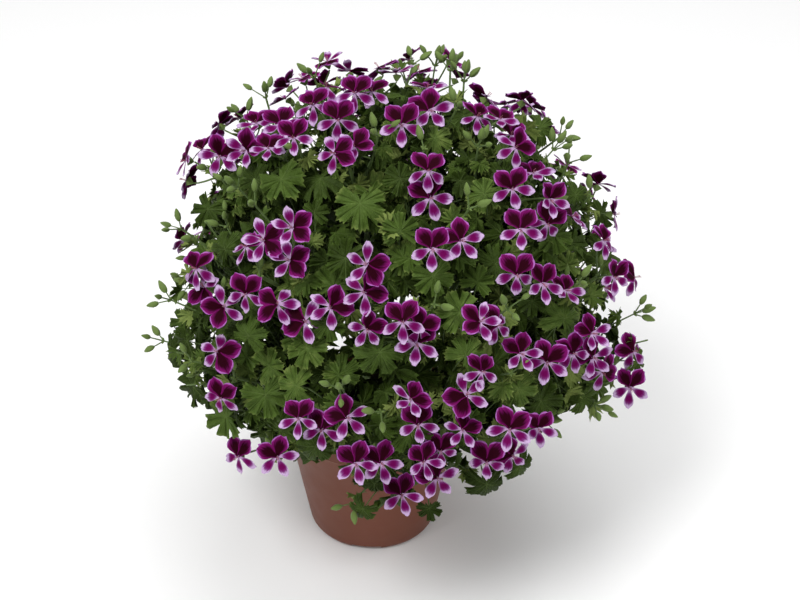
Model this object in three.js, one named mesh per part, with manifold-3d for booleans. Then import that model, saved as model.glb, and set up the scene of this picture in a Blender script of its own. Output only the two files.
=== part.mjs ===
// A potted angel pelargonium in flower: a plastic nursery pot, its potting mix, leafy shoots that
// rise from the mix and arch out into a dome, and flower heads that stand just outside the leaves.
// Millimetres, +Z up, the front is -Y. The origin is the centre of the pot's foot, on the ground.
import * as THREE from "three";
import { mergeVertices } from "three/addons/utils/BufferGeometryUtils.js";
import Module from "manifold-3d";

const wasm = await Module();
wasm.setup();

// Pot
const POT_HEIGHT = 112;
const POT_TOP_RADIUS = 70;
const POT_BASE_RADIUS = 51;
const POT_WALL = 1.8;
const POT_SIDES = 28;
const RIM_HEIGHT = 13;
const RIM_STEP = 1.8;
const FOOT_RADIUS = 12;
const RECESS_RADIUS = 38;
const RECESS_HEIGHT = 3;
const FLOOR = 4.8;
const CORNER = 4.5;
const DRAIN_COUNT = 6;
const DRAIN_RADIUS = 3.5;
const DRAIN_CIRCLE = 26;
const NOTCH_COUNT = 4;
const NOTCH_TURN = -6;
const NOTCH_WIDTH = 24;
const NOTCH_HEIGHT = 2.2;

// Potting mix
const CLEARANCE = 0.35;
const SOIL_TOP = 95;
const SOIL_MOUND = 3;
const HOLE_DEPTH = 12;
const HOLE_RADIUS = 5;

// Dome of leaves
const DOME_CENTRE = new THREE.Vector3(15, 0, 198);
const DOME_RADIUS = 164;
const DOME_ABOVE = 177;
const DOME_BELOW = 105;

// Shoots
const SPINE_RADIUS = 2.8;
const SPINE_STEPS = 4;
const SPINE_REACH = 0.66;
const BRANCH_STEPS = 3;
const BRANCH_RADIUS = 1.7;
const FOUNTAIN_CENTRE = new THREE.Vector3(8, 0, 118);

// Leaves
const LEAF_PLACES = 178;
const LEAF_LOWEST_RISE = -42;
const LEAF_DEPTH = 12;
const LEAF_HALF_WIDTH = 13.5;
const LEAF_CLEAR_OF_HEAD = 19;
const BUDS_CLEAR_OF_HEAD = 44;
const PETIOLE_RADIUS = 0.7;
const LEAST_BEND = 0.4;

// Buds
const BUD_RADIUS = 2.6;
const BUD_LENGTH = 11;
const BUD_NECK = 6;
const BUD_STALK_RADIUS = 0.9;

// Flowers
const PETAL_REACH = 16;
const FLOWER_LEVEL = 13;
const HEAD_HEIGHT = 19;
const STRAY = 0.15;
const HUB_HEIGHT = 5;
const HUB_RADIUS = 3.8;
const STALK_RADIUS = 0.75;
const PETAL_TURNS = [-112, -36, 36, 112, 180];
const FLOWER_STEPS = [0, 4, 8, -4, 12];
const FLOWER_APART = 10;
const FLOWER_PASSES = 3;
const NEIGHBOUR_REACH = 100;
const FAR_SPREAD = 16;
const FAR_SPREAD_CHANGE = 9;
const FAR_TURN_CHANGE = 0.4;
const FAR_ROLL_CHANGE = 60;

// Camera of the photograph: it looks towards +Y and down, at a point above the origin.
const VIEW_RISE = 33.9;
const VIEW_DISTANCE = 1300;
const VIEW_AIM_HEIGHT = 200;
const VIEW_CENTRE_PIXEL = [372.7, 307];
const VIEW_LENS_PIXELS = 1718;

// Each shoot's heading on the dome: turn from the front, towards +X, and rise, in degrees.
const SHOOTS = [
  [-38, 4], [-10, 6], [20, 6], [55, 8], [97, 4], [143, 6], [-168, 4], [-118, 4],
  [-80, 46], [-15, 47], [58, 47], [160, 48], [-60, 80],
];

// Flower heads of the near side, each a list of flowers: the pixel that the throat is at in the
// photograph, how far the flower is rolled over, and how far it turns towards the camera.
const NEAR_HEADS = [
  [[186, 180, 60, -0.2], [186, 160, 30, 0], [202, 149, 20, 0.1], [220, 155, -20, 0.5]],
  [[220, 124, 10, 0], [240, 118, 0, -0.1], [257, 123, 0, 0.1]],
  [[281, 124, 20, 0.5], [294, 137, 0, 0], [269, 148, 0, 0.1], [246, 150, -50, 0.4]],
  [[313, 104, 10, 0.3], [338, 119, 0, 0.7], [327, 87, 0, 0.1]],
  [[355, 92, 0, 0.3], [350, 71, 10, -0.3], [372, 91, -10, 0.1], [379, 67, 0, -0.2], [396, 73, -20, -0.1]],
  [[335, 153, -80, 0.2], [355, 146, -70, 0]],
  [[402, 124, 0, 0.7], [430, 110, 30, 0.6], [427, 88, 15, 0.1]],
  [[486, 97, -30, -0.5], [477, 116, 0, -0.3], [500, 119, -20, -0.4], [522, 100, 0, -0.5]],
  [[516, 147, -60, 0.2], [511, 135, -30, 0]],
  [[428, 170, 0, 0.2], [430, 197, 25, 0.7]],
  [[533, 173, -10, 0.3], [550, 199, 0, 0.2], [512, 188, 10, 0.3]],
  [[521, 229, 0, 0.6], [548, 223, -20, 0.3], [572, 216, 20, 0.1]],
  [[598, 184, 0, -0.6], [614, 214, -90, -0.3]],
  [[265, 240, -90, 0.5], [293, 228, -95, 0.3], [290, 260, -105, 0.6]],
  [[196, 268, 0, 0.3], [203, 287, 175, 0.3], [223, 307, 125, 0.4]],
  [[246, 246, -20, -0.3], [246, 293, -10, 0.4]],
  [[277, 304, 95, 0.5], [304, 321, 85, 0.6], [331, 307, -60, 0.4]],
  [[218, 352, -115, 0.6], [221, 397, -25, 0.3]],
  [[238, 456, -10, 0.4], [277, 456, 25, 0.5]],
  [[299, 418, 0, 0.3], [322, 429, 0, 0.3], [347, 417, 45, 0.5]],
  [[367, 265, -115, 0.6], [365, 292, -60, 0.4], [367, 328, -40, 0]],
  [[403, 321, 0, 0.3], [420, 328, -30, 0.2], [417, 343, -10, 0.7]],
  [[432, 248, 0, 0.3], [461, 240, 35, 0.4]],
  [[517, 274, 0, 0.6], [543, 283, 0, 0.2], [566, 290, 0, 0]],
  [[634, 277, 45, 0.3], [614, 276, 0, 0], [604, 240, 0, -0.2]],
  [[479, 322, 90, 0.1], [497, 325, 60, 0.3]],
  [[547, 361, -15, 0.7], [521, 353, 20, 0.1]],
  [[592, 333, 40, 0.1], [573, 353, 20, 0.2], [593, 357, 50, 0.3], [603, 372, -60, 0.3]],
  [[633, 351, 45, 0.2], [630, 387, 0, 0.5]],
  [[466, 395, 130, 0.6], [482, 371, 0, 0]],
  [[411, 400, -55, 0.2], [418, 424, 10, 0.2]],
  [[356, 463, 15, 0.4], [381, 462, 15, 0.4]],
  [[402, 494, 10, 0.5], [437, 477, 40, 0.6]],
  [[424, 461, 20, 0.1], [441, 450, 0, 0.1], [463, 430, -50, -0.2]],
  [[487, 461, -5, 0.5], [510, 428, -15, 0.5], [538, 428, 0, 0.2], [512, 455, 60, 0.2]],
];

// Flower heads of the far side: turn, rise, number of flowers, and how far they are rolled over.
const FAR_HEADS = [
  [-125, 2, 4, 20], [134, 36, 4, 0], [167, 45, 5, 20], [-148, 44, 5, 0], [-166, 28, 4, 0],
  [157, 24, 5, -20], [128, 14, 4, 10], [-141, 18, 4, 0], [178, 3, 5, 20], [116, -8, 4, 0],
];

const degrees = THREE.MathUtils.degToRad;
const UP = new THREE.Vector3(0, 0, 1);
const ODD_SIDE = new THREE.Vector3(0.3, 0.2, 1);
const VIEW_UP = UP.clone().applyAxisAngle(new THREE.Vector3(1, 0, 0), -degrees(VIEW_RISE));
const VIEW_AHEAD = new THREE.Vector3(0, VIEW_UP.z, -VIEW_UP.y);
const EYE = new THREE.Vector3(0, 0, VIEW_AIM_HEIGHT).addScaledVector(VIEW_AHEAD, -VIEW_DISTANCE);

// A number from 0 to 1 that is always the same for the same item and question.
function draw(item, question) {
  const x = Math.sin(item * 12.9898 + question * 78.233) * 43758.5453;
  return x - Math.floor(x);
}

function drawDirection(item, question) {
  const axes = [0, 1, 2].map((k) => 2 * draw(item, question + k) - 1);
  return new THREE.Vector3(...axes);
}

// A point on the dome, or outside it by `out`.
function domePoint(turn, rise, out) {
  const t = degrees(turn);
  const r = degrees(rise);
  const height = rise > 0 ? DOME_ABOVE : DOME_BELOW;
  return new THREE.Vector3(
    (DOME_RADIUS + out) * Math.cos(r) * Math.sin(t),
    -(DOME_RADIUS + out) * Math.cos(r) * Math.cos(t),
    (height + out) * Math.sin(r),
  ).add(DOME_CENTRE);
}

function domeNormal(turn, rise) {
  const t = degrees(turn);
  const r = degrees(rise);
  const height = rise > 0 ? DOME_ABOVE : DOME_BELOW;
  return new THREE.Vector3(
    (Math.cos(r) * Math.sin(t)) / DOME_RADIUS,
    (-Math.cos(r) * Math.cos(t)) / DOME_RADIUS,
    Math.sin(r) / height,
  ).normalize();
}

function across(vector, normal) {
  return vector.clone().addScaledVector(normal, -vector.dot(normal)).normalize();
}

// Closed triangles become a solid once their shared corners are merged.
function solidOf(geometry) {
  const bare = new THREE.BufferGeometry();
  bare.setAttribute("position", geometry.getAttribute("position"));
  bare.setIndex(geometry.getIndex());
  const merged = mergeVertices(bare, 1e-3);
  return new wasm.Manifold(
    new wasm.Mesh({
      numProp: 3,
      vertProperties: merged.attributes.position.array,
      triVerts: new Uint32Array(merged.index.array),
    }),
  );
}

function meshOf(name, solid, material) {
  const { numProp, vertProperties, triVerts } = solid.getMesh();
  const geometry = new THREE.BufferGeometry();
  const array = new THREE.BufferAttribute(vertProperties, numProp);
  geometry.setAttribute("position", array);
  geometry.setIndex(new THREE.BufferAttribute(triVerts, 1));
  geometry.computeVertexNormals();
  const mesh = new THREE.Mesh(geometry, material);
  mesh.name = name;
  return mesh;
}

// A stem of even thickness along a curve.
function stem(curve, radius, sides, steps) {
  const section = new THREE.Shape();
  for (let k = 0; k < sides; k++) {
    const angle = (2 * Math.PI * k) / sides;
    const corner = [radius * Math.cos(angle), radius * Math.sin(angle)];
    if (k === 0) section.moveTo(...corner);
    else section.lineTo(...corner);
  }
  section.closePath();
  const options = { steps, bevelEnabled: false, extrudePath: curve };
  return solidOf(new THREE.ExtrudeGeometry(section, options));
}

// A point in the middle of a stem, at a share of its length.
function alongStem(curve, steps, share) {
  const points = curve.getSpacedPoints(steps);
  const k = Math.min(steps - 1, Math.floor(share * steps));
  return points[k].clone().lerp(points[k + 1], share * steps - k);
}

// A thin body on a three-sided stalk. The outline runs counter-clockwise round the crown, thins
// to an edge there, and starts at the side that the first corner of the stalk's heel is on.
function stalkedBlade(outline, crown, heel, foot) {
  const count = outline.length;
  const points = [...outline.map((p) => p.point), crown, ...heel, ...foot];
  const heelOf = (k) => count + 1 + (Math.round(outline[k % count].angle / 120) % 3);
  const faces = [];
  for (let k = 0; k < count; k++) {
    const next = (k + 1) % count;
    faces.push([k, next, count], [next, k, heelOf(k)]);
    if (heelOf(k) !== heelOf(next)) faces.push([next, heelOf(k), heelOf(next)]);
  }
  for (let k = 0; k < 3; k++) {
    const top = count + 1 + k;
    const nextTop = count + 1 + ((k + 1) % 3);
    faces.push([top, top + 3, nextTop + 3], [top, nextTop + 3, nextTop]);
  }
  faces.push([count + 4, count + 6, count + 5]);
  const geometry = new THREE.BufferGeometry().setFromPoints(points);
  geometry.setIndex(faces.flat());
  return solidOf(geometry);
}

// Corners at angles from `ahead`, counter-clockwise about `normal`: [angle, radius, height].
function ring(centre, ahead, normal, corners) {
  const side = normal.clone().cross(ahead);
  return corners.map(([angle, radius, height]) => ({
    angle,
    point: centre
      .clone()
      .addScaledVector(ahead, radius * Math.cos(degrees(angle)))
      .addScaledVector(side, radius * Math.sin(degrees(angle)))
      .addScaledVector(normal, height),
  }));
}

// Both halves of an outline that is the same left and right of the angle 0 and 180 line.
function mirrored(first, half, last) {
  const back = half.map(([angle, radius, height]) => [360 - angle, radius, height]).reverse();
  return [...first, ...half, ...last, ...back];
}

// Leaf: a fan of five lobes with shallow cuts between, and a notch at the stalk.
const LEAF_OUTLINE = mirrored(
  [[0, 1.3, -0.16]],
  [
    [26, 0.82, 0.1], [38, 1.1, 0.02], [60, 1.18, -0.14], [78, 0.74, 0.1], [95, 1.08, -0.02],
    [125, 0.98, -0.14],
  ],
  [[180, 0.16, 0]],
);

// Flower: two broad upper petals with a notch between, and three narrow lower ones.
const FLOWER_OUTLINE = mirrored(
  [[0, 0.7, 0.02]],
  [
    [17, 1.0, 0.12], [57, 0.96, 0.12], [84, 0.3, -0.06], [103, 0.92, 0.02], [122, 0.94, 0.02],
    [148, 0.28, -0.08], [168, 1.02, 0.1],
  ],
  [],
);

// The way each shoot grows: up out of its hole in the mix, then out towards its heading.
function spineOf([turn, rise]) {
  const target = FOUNTAIN_CENTRE.clone().lerp(domePoint(turn, rise, 0), SPINE_REACH);
  const spread = 10 + 30 * Math.cos(degrees(rise));
  const root = new THREE.Vector3(
    4 + spread * Math.sin(degrees(turn)),
    -spread * Math.cos(degrees(turn)),
    SOIL_TOP - HOLE_DEPTH + 2 * CLEARANCE,
  );
  const above = root.clone().addScaledVector(UP, 48);
  return new THREE.CubicBezierCurve3(root, above, above.clone().lerp(target, 0.5), target);
}

// Flower heads look outwards and up, more level near the foot of the dome.
function headAxis(turn, rise) {
  return domeNormal(turn, rise).addScaledVector(UP, rise < 30 ? 0.55 : 0.25).normalize();
}

function headAt(index, turn, rise, middle, flowers) {
  const axis = headAxis(turn, rise);
  const base = middle.clone().addScaledVector(axis, -HEAD_HEIGHT);
  return { index, axis, middle, base, flowers, steps: flowers.map(() => 0) };
}

// The point of the dome, FLOWER_LEVEL outside the leaves, that a pixel of the photograph shows.
function flowerPlace([across, down]) {
  const ray = VIEW_AHEAD.clone().multiplyScalar(VIEW_LENS_PIXELS);
  ray.x += across - VIEW_CENTRE_PIXEL[0];
  ray.addScaledVector(VIEW_UP, VIEW_CENTRE_PIXEL[1] - down).normalize();
  const meet = (height) => {
    const level = 1 / (DOME_RADIUS + FLOWER_LEVEL);
    const stretch = new THREE.Vector3(level, level, 1 / (height + FLOWER_LEVEL));
    const from = EYE.clone().sub(DOME_CENTRE).multiply(stretch);
    const way = ray.clone().multiply(stretch);
    const half = from.dot(way) / way.lengthSq();
    const rest = (from.lengthSq() - 1) / way.lengthSq();
    const far = -half - Math.sqrt(Math.max(0, half * half - rest));
    return EYE.clone().addScaledVector(ray, far);
  };
  const above = meet(DOME_ABOVE);
  return above.z > DOME_CENTRE.z ? above : meet(DOME_BELOW);
}

function nearHead(pixels, index) {
  const flowers = pixels.map(([x, y, roll, open]) => {
    const place = flowerPlace([x, y]);
    const outwards = EYE.clone().sub(place).normalize();
    return { place, outwards, upright: VIEW_UP, roll, open };
  });
  const middle = new THREE.Vector3();
  for (const { place } of flowers) middle.addScaledVector(place, 1 / flowers.length);
  const { x, y, z } = middle.clone().sub(DOME_CENTRE);
  const height = z > 0 ? DOME_ABOVE : DOME_BELOW;
  const turn = THREE.MathUtils.radToDeg(Math.atan2(x, -y));
  const rise = THREE.MathUtils.radToDeg(Math.atan2(z / height, Math.hypot(x, y) / DOME_RADIUS));
  return headAt(index, turn, rise, middle, flowers);
}

function farHead([turn, rise, count, roll], order) {
  const index = NEAR_HEADS.length + order;
  const middle = domePoint(turn, rise, FLOWER_LEVEL);
  const outwards = headAxis(turn, rise);
  const side = across(ODD_SIDE, outwards);
  const flowers = [...Array(count).keys()].map((k) => {
    const item = index * 10 + k;
    const angle = (360 * (k + FAR_TURN_CHANGE * draw(item, 1))) / count;
    const radial = side.clone().applyAxisAngle(outwards, degrees(angle));
    const spread = FAR_SPREAD + FAR_SPREAD_CHANGE * draw(item, 3);
    const place = middle.clone().addScaledVector(radial, spread);
    const flowerRoll = roll + FAR_ROLL_CHANGE * (draw(item, 2) - 0.5);
    return { place, outwards, upright: UP, roll: flowerRoll, open: 0 };
  });
  return headAt(index, turn, rise, middle, flowers);
}

// The nearest of several items that have a middle, by straight distance.
function nearest(items, point) {
  return items.reduce((best, item) =>
    item.middle.distanceTo(point) < best.middle.distanceTo(point) ? item : best,
  );
}

// The stem from a shoot's spine to one of its flower heads.
function branchOf(spine, head) {
  const leave = alongStem(spine, SPINE_STEPS, 0.62 + 0.34 * draw(head.index, 3));
  const end = head.base.clone().addScaledVector(head.axis, -CLEARANCE);
  const before = end.clone().addScaledVector(head.axis, -34);
  const after = leave.clone().lerp(before, 0.45);
  return new THREE.CubicBezierCurve3(leave, after, before, end);
}

// Each flower is moved in or out until its petals are as clear as they can be of the others'.
function partFlowers(heads) {
  const ends = heads.map((head) => head.flowers.map((_, k) => petalEnds(head, k, 0)));
  for (let pass = 0; pass < FLOWER_PASSES; pass++) {
    heads.forEach((head, h) => {
      const near = heads.flatMap((other, n) =>
        other.middle.distanceTo(head.middle) < NEIGHBOUR_REACH ? ends[n].map((_, i) => [n, i]) : [],
      );
      head.flowers.forEach((_, k) => {
        const others = near.flatMap(([n, i]) => (n === h && i === k ? [] : ends[n][i]));
        let best = -1;
        for (const step of FLOWER_STEPS) {
          const own = petalEnds(head, k, step);
          const gap = Math.min(...own.flatMap((at) => others.map((p) => p.distanceTo(at))));
          const clear = Math.min(gap, FLOWER_APART);
          if (clear > best) [best, head.steps[k], ends[h][k]] = [clear, step, own];
        }
      });
    });
  }
}

// The throat of a flower and the middle of each of its petals.
function petalEnds(head, k, step) {
  const { throat, facing, top } = flowerOf(head, k, step);
  const petals = PETAL_TURNS.map((angle) => [angle, 0.8 * PETAL_REACH, 0]);
  return [throat, ...ring(throat, top, facing, petals).map((c) => c.point)];
}

// One flower of a head: where its stalk starts, its throat, and the ways it faces and stands.
function flowerOf(head, k, step = head.steps[k]) {
  const { place, outwards, upright, roll, open } = head.flowers[k];
  const throat = place.clone().addScaledVector(outwards, step);
  const radial = across(throat.clone().sub(head.base), head.axis);
  const root = head.base.clone().addScaledVector(head.axis, 0.3 * HUB_HEIGHT);
  root.addScaledVector(radial, 0.2 * HUB_RADIUS);
  const along = throat.clone().sub(root).normalize();
  const facing = along.clone().add(head.axis).multiplyScalar(0.5).addScaledVector(outwards, open);
  facing.addScaledVector(drawDirection(head.index * 10 + k, 5), STRAY).normalize();
  const top = across(upright, facing).applyAxisAngle(facing, degrees(roll));
  return { along, root, throat, facing, top };
}

function flowerSolid(head, k) {
  const { along, root, throat, facing, top } = flowerOf(head, k);
  const scaled = FLOWER_OUTLINE.map(([a, r, h]) => [a, r * PETAL_REACH, h * PETAL_REACH]);
  const outline = ring(throat, top, facing, scaled);
  const crown = throat.clone().addScaledVector(facing, -1.5);
  const corners = [[0, 1.7, -5.5], [120, 1.7, -5.5], [240, 1.7, -5.5]];
  const heel = ring(throat, top, facing, corners).map((c) => c.point);
  const rootCorners = corners.map(([a]) => [a, STALK_RADIUS, 0]);
  const foot = ring(root, across(top, along), along, rootCorners).map((c) => c.point);
  return stalkedBlade(outline, crown, heel, foot);
}

// The pointed knob that the flower stalks of a head stand on, with a side for each stalk.
function hubSolid(head) {
  const sides = head.flowers.length === 2 ? 4 : head.flowers.length;
  const side = across(ODD_SIDE, head.axis);
  const corners = [...Array(sides).keys()].map((k) => [(360 * k) / sides, HUB_RADIUS, 0]);
  const foot = ring(head.base, side, head.axis, corners).map((c) => c.point);
  const peak = head.base.clone().addScaledVector(head.axis, HUB_HEIGHT);
  const geometry = new THREE.BufferGeometry().setFromPoints([...foot, peak]);
  const faces = foot.map((_, k) => [k, (k + 1) % sides, sides]);
  for (let k = 1; k < sides - 1; k++) faces.push([0, k + 1, k]);
  geometry.setIndex(faces.flat());
  return solidOf(geometry);
}

function headSolid(head) {
  const pieces = [hubSolid(head)];
  head.flowers.forEach((_, k) => pieces.push(flowerSolid(head, k)));
  return wasm.Manifold.union(pieces);
}

// What grows at each place on the dome: a leaf, a bunch of buds, or nothing under a flower head.
function placeOf(index, heads) {
  const lowest = Math.sin(degrees(LEAF_LOWEST_RISE));
  const share = (index + 0.5) / LEAF_PLACES;
  const rise = THREE.MathUtils.radToDeg(Math.asin(lowest + (1 - lowest) * share));
  const turn = (index * 137.508) % 360;
  const out = -LEAF_DEPTH + 6 * (draw(index, 11) - 0.5);
  const middle = domePoint(turn, rise, out);
  const head = nearest(heads, middle);
  const fromAxis = middle.clone().sub(head.base).projectOnPlane(head.axis).length();
  const kind =
    fromAxis < LEAF_CLEAR_OF_HEAD
      ? "none"
      : fromAxis > BUDS_CLEAR_OF_HEAD && index % 2
        ? "buds"
        : "leaf";
  return { index, turn, rise, middle, head, kind };
}

function leafSolid(place) {
  const { index, turn, rise, middle, head } = place;
  const root = alongStem(head.branch, BRANCH_STEPS, 0.53 + 0.34 * draw(index, 12));
  const normal = domeNormal(turn, rise).addScaledVector(UP, 0.35);
  normal.addScaledVector(drawDirection(index, 13), 0.35).normalize();
  const down = root.clone().sub(middle).normalize();
  const excess = Math.max(0, normal.dot(down) + LEAST_BEND);
  normal.addScaledVector(down, -excess / (1 - LEAST_BEND * LEAST_BEND)).normalize();
  const tip = across(middle.clone().sub(root).addScaledVector(UP, -12), normal);
  const size = LEAF_HALF_WIDTH * (0.82 + 0.36 * draw(index, 16));
  const joint = middle.clone().addScaledVector(tip, -0.35 * size);
  const scaled = LEAF_OUTLINE.map(([a, r, h]) => [a, r * size, h * size]);
  const outline = ring(joint, tip, normal, scaled);
  const crown = joint.clone().addScaledVector(normal, 0.6);
  const corners = [[0, 0.9, -1.9], [120, 0.95, -0.9], [240, 0.95, -0.9]];
  const heel = ring(joint, tip, normal, corners).map((c) => c.point);
  const along = middle.clone().sub(root).normalize();
  const rootCorners = corners.map(([a]) => [a, PETIOLE_RADIUS, 0]);
  const foot = ring(root, across(tip, along), along, rootCorners).map((c) => c.point);
  return stalkedBlade(outline, crown, heel, foot);
}

// Three green buds on short stalks that part at the top of one long stalk.
function budSolid(place) {
  const { index, turn, rise, middle, head } = place;
  const root = alongStem(head.branch, BRANCH_STEPS, 0.53 + 0.34 * draw(index, 12));
  const along = middle.clone().sub(root).normalize();
  const axis = along.clone().addScaledVector(headAxis(turn, rise), 0.9).normalize();
  const ahead = across(ODD_SIDE, axis);
  ahead.applyAxisAngle(axis, degrees(360 * draw(index, 17)));
  const corners = [0, 120, 240].map((angle) => [angle, BUD_STALK_RADIUS, 0]);
  const fork = ring(middle, ahead, axis, corners).map((c) => c.point);
  const foot = ring(root, across(ahead, along), along, corners).map((c) => c.point);
  const points = [...foot, ...fork, middle.clone().addScaledVector(axis, 1)];
  const faces = [[0, 2, 1]];
  const sleeve = (low, high) => {
    for (let k = 0; k < 3; k++) {
      const next = (k + 1) % 3;
      faces.push([low[k], low[next], high[next]], [low[k], high[next], high[k]]);
    }
  };
  sleeve([0, 1, 2], [3, 4, 5]);
  for (let k = 0; k < 3; k++) {
    const base = [3 + k, 3 + ((k + 1) % 3), 6];
    const [p, q, r] = base.map((n) => points[n]);
    const centre = p.clone().add(q).add(r).divideScalar(3);
    const way = q.clone().sub(p).cross(r.clone().sub(p)).normalize().add(axis).normalize();
    const side = across(p.clone().sub(centre), way);
    const at = (distance, radius) => {
      const middleThere = centre.clone().addScaledVector(way, distance);
      const start = points.length;
      const turned = [0, 120, 240].map((angle) => [angle, radius, 0]);
      points.push(...ring(middleThere, side, way, turned).map((c) => c.point));
      return [start, start + 1, start + 2];
    };
    const neck = at(BUD_NECK + 3 * k, BUD_STALK_RADIUS * 0.8);
    const belly = at(BUD_NECK + 3 * k + BUD_LENGTH * 0.4, BUD_RADIUS);
    sleeve(base, neck);
    sleeve(neck, belly);
    points.push(centre.clone().addScaledVector(way, BUD_NECK + 3 * k + BUD_LENGTH));
    const tip = points.length - 1;
    for (let i = 0; i < 3; i++) faces.push([belly[i], belly[(i + 1) % 3], tip]);
  }
  const geometry = new THREE.BufferGeometry().setFromPoints(points);
  geometry.setIndex(faces.flat());
  return solidOf(geometry);
}

// Pot: a thin wall with a stepped rim, and a base that stands on a ring and a middle foot.
function innerRadius(z) {
  const low = POT_BASE_RADIUS - POT_WALL;
  const high = POT_TOP_RADIUS - RIM_STEP - POT_WALL;
  return low + ((high - low) * (z - CORNER)) / (POT_HEIGHT - RIM_HEIGHT - CORNER);
}

function lathe(profile) {
  const points = profile.map(([r, z]) => new THREE.Vector2(r, z));
  return solidOf(new THREE.LatheGeometry(points, POT_SIDES).rotateX(Math.PI / 2));
}

function potSolid() {
  const rimFoot = POT_HEIGHT - RIM_HEIGHT;
  const body = lathe([
    [0, 0],
    [FOOT_RADIUS, 0],
    [FOOT_RADIUS + 1.5, RECESS_HEIGHT],
    [RECESS_RADIUS, RECESS_HEIGHT],
    [RECESS_RADIUS + 1.5, 0],
    [POT_BASE_RADIUS - CORNER, 0],
    [POT_BASE_RADIUS - 1.2, 1.4],
    [POT_BASE_RADIUS, CORNER],
    [POT_TOP_RADIUS - RIM_STEP - 0.4, rimFoot],
    [POT_TOP_RADIUS - 0.8, rimFoot + 1],
    [POT_TOP_RADIUS, POT_HEIGHT],
    [POT_TOP_RADIUS - POT_WALL, POT_HEIGHT],
    [innerRadius(rimFoot), rimFoot],
    [innerRadius(FLOOR), FLOOR],
    [0, FLOOR],
  ]);
  const cuts = [];
  for (let k = 0; k < DRAIN_COUNT; k++) {
    const hole = new THREE.CylinderGeometry(DRAIN_RADIUS, DRAIN_RADIUS, 20, 8);
    hole.rotateX(Math.PI / 2).translate(DRAIN_CIRCLE, 0, 0);
    cuts.push(solidOf(hole.rotateZ((2 * Math.PI * k) / DRAIN_COUNT)));
  }
  for (let k = 0; k < NOTCH_COUNT; k++) {
    const notch = new THREE.BoxGeometry(NOTCH_WIDTH, 40, 2 * NOTCH_HEIGHT);
    notch.translate(0, -(RECESS_RADIUS + 4 + 20), 0);
    cuts.push(solidOf(notch.rotateZ(degrees(NOTCH_TURN + (360 * k) / NOTCH_COUNT))));
  }
  return body.subtract(wasm.Manifold.union(cuts));
}

function soilSolid(spines) {
  const floor = FLOOR + CLEARANCE;
  const side = (z) => innerRadius(z) - CLEARANCE;
  const mix = lathe([
    [0, floor],
    [side(floor), floor],
    [side(SOIL_TOP), SOIL_TOP],
    [0, SOIL_TOP + SOIL_MOUND],
  ]);
  const holes = spines.map((spine) => {
    const [low, high] = spine.getSpacedPoints(SPINE_STEPS);
    const { x, y } = low.lerp(high, (0.5 * HOLE_DEPTH) / (high.z - low.z));
    const hole = new THREE.CylinderGeometry(HOLE_RADIUS, HOLE_RADIUS, 2 * HOLE_DEPTH, 6);
    return solidOf(hole.rotateX(Math.PI / 2).translate(x, y, SOIL_TOP));
  });
  return mix.subtract(wasm.Manifold.union(holes));
}

const terracotta = new THREE.MeshStandardMaterial({ color: 0x8f5a49, roughness: 0.55 });
const pottingMix = new THREE.MeshStandardMaterial({ color: 0x2d2018, roughness: 0.95 });
const green = new THREE.MeshStandardMaterial({ color: 0x4b6d2e, roughness: 0.6 });
const magenta = new THREE.MeshStandardMaterial({ color: 0x7d1560, roughness: 0.5 });

const spines = SHOOTS.map(spineOf);
const shoots = SHOOTS.map(([turn, rise], k) => ({
  middle: domePoint(turn, rise, 0),
  solids: [stem(spines[k], SPINE_RADIUS, 4, SPINE_STEPS)],
  spine: spines[k],
}));
const heads = [...NEAR_HEADS.map(nearHead), ...FAR_HEADS.map(farHead)];
partFlowers(heads);
for (const head of heads) {
  head.shoot = nearest(shoots, head.middle);
  head.branch = branchOf(head.shoot.spine, head);
  head.shoot.solids.push(stem(head.branch, BRANCH_RADIUS, 3, BRANCH_STEPS));
}
for (let index = 0; index < LEAF_PLACES; index++) {
  const place = placeOf(index, heads);
  if (place.kind === "leaf") place.head.shoot.solids.push(leafSolid(place));
  if (place.kind === "buds") place.head.shoot.solids.push(budSolid(place));
}

const plant = new THREE.Group();
plant.add(meshOf("pot", potSolid(), terracotta));
plant.add(meshOf("potting_mix", soilSolid(spines), pottingMix));
shoots.forEach((shoot, k) => {
  const name = `leafy_shoot_${String(k + 1).padStart(2, "0")}`;
  plant.add(meshOf(name, wasm.Manifold.union(shoot.solids), green));
});
heads.forEach((head, k) => {
  const name = `flower_head_${String(k + 1).padStart(2, "0")}`;
  plant.add(meshOf(name, headSolid(head), magenta));
});

export default plant;
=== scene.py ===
"""A potted angel pelargonium in flower.

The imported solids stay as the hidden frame. Each is replaced here by a finer piece of the same form
at the same place: the nursery pot, its potting mix, 13 leafy shoots and 45 flower heads. The rules
that place the shoots, heads, leaves and buds are those of the solids, in millimetres.
"""

import math

import bpy
import numpy as np
from bpy.props import FloatProperty, FloatVectorProperty, IntProperty, PointerProperty
from mathutils import Matrix, Vector, noise


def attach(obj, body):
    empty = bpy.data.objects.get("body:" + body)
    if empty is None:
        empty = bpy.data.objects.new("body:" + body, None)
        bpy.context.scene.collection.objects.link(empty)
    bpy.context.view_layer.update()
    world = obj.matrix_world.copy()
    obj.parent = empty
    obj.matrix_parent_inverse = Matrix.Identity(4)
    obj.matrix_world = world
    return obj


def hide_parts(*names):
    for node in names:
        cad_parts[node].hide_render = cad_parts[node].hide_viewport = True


bl_info = {
    "name": "Potted angel pelargonium",
    "version": (1, 0, 0),
    "blender": (4, 5, 0),
    "location": "View3D > Sidebar > Pelargonium",
    "description": "Builds a potted angel pelargonium in flower, piece by piece",
    "category": "Add Mesh",
}

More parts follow.
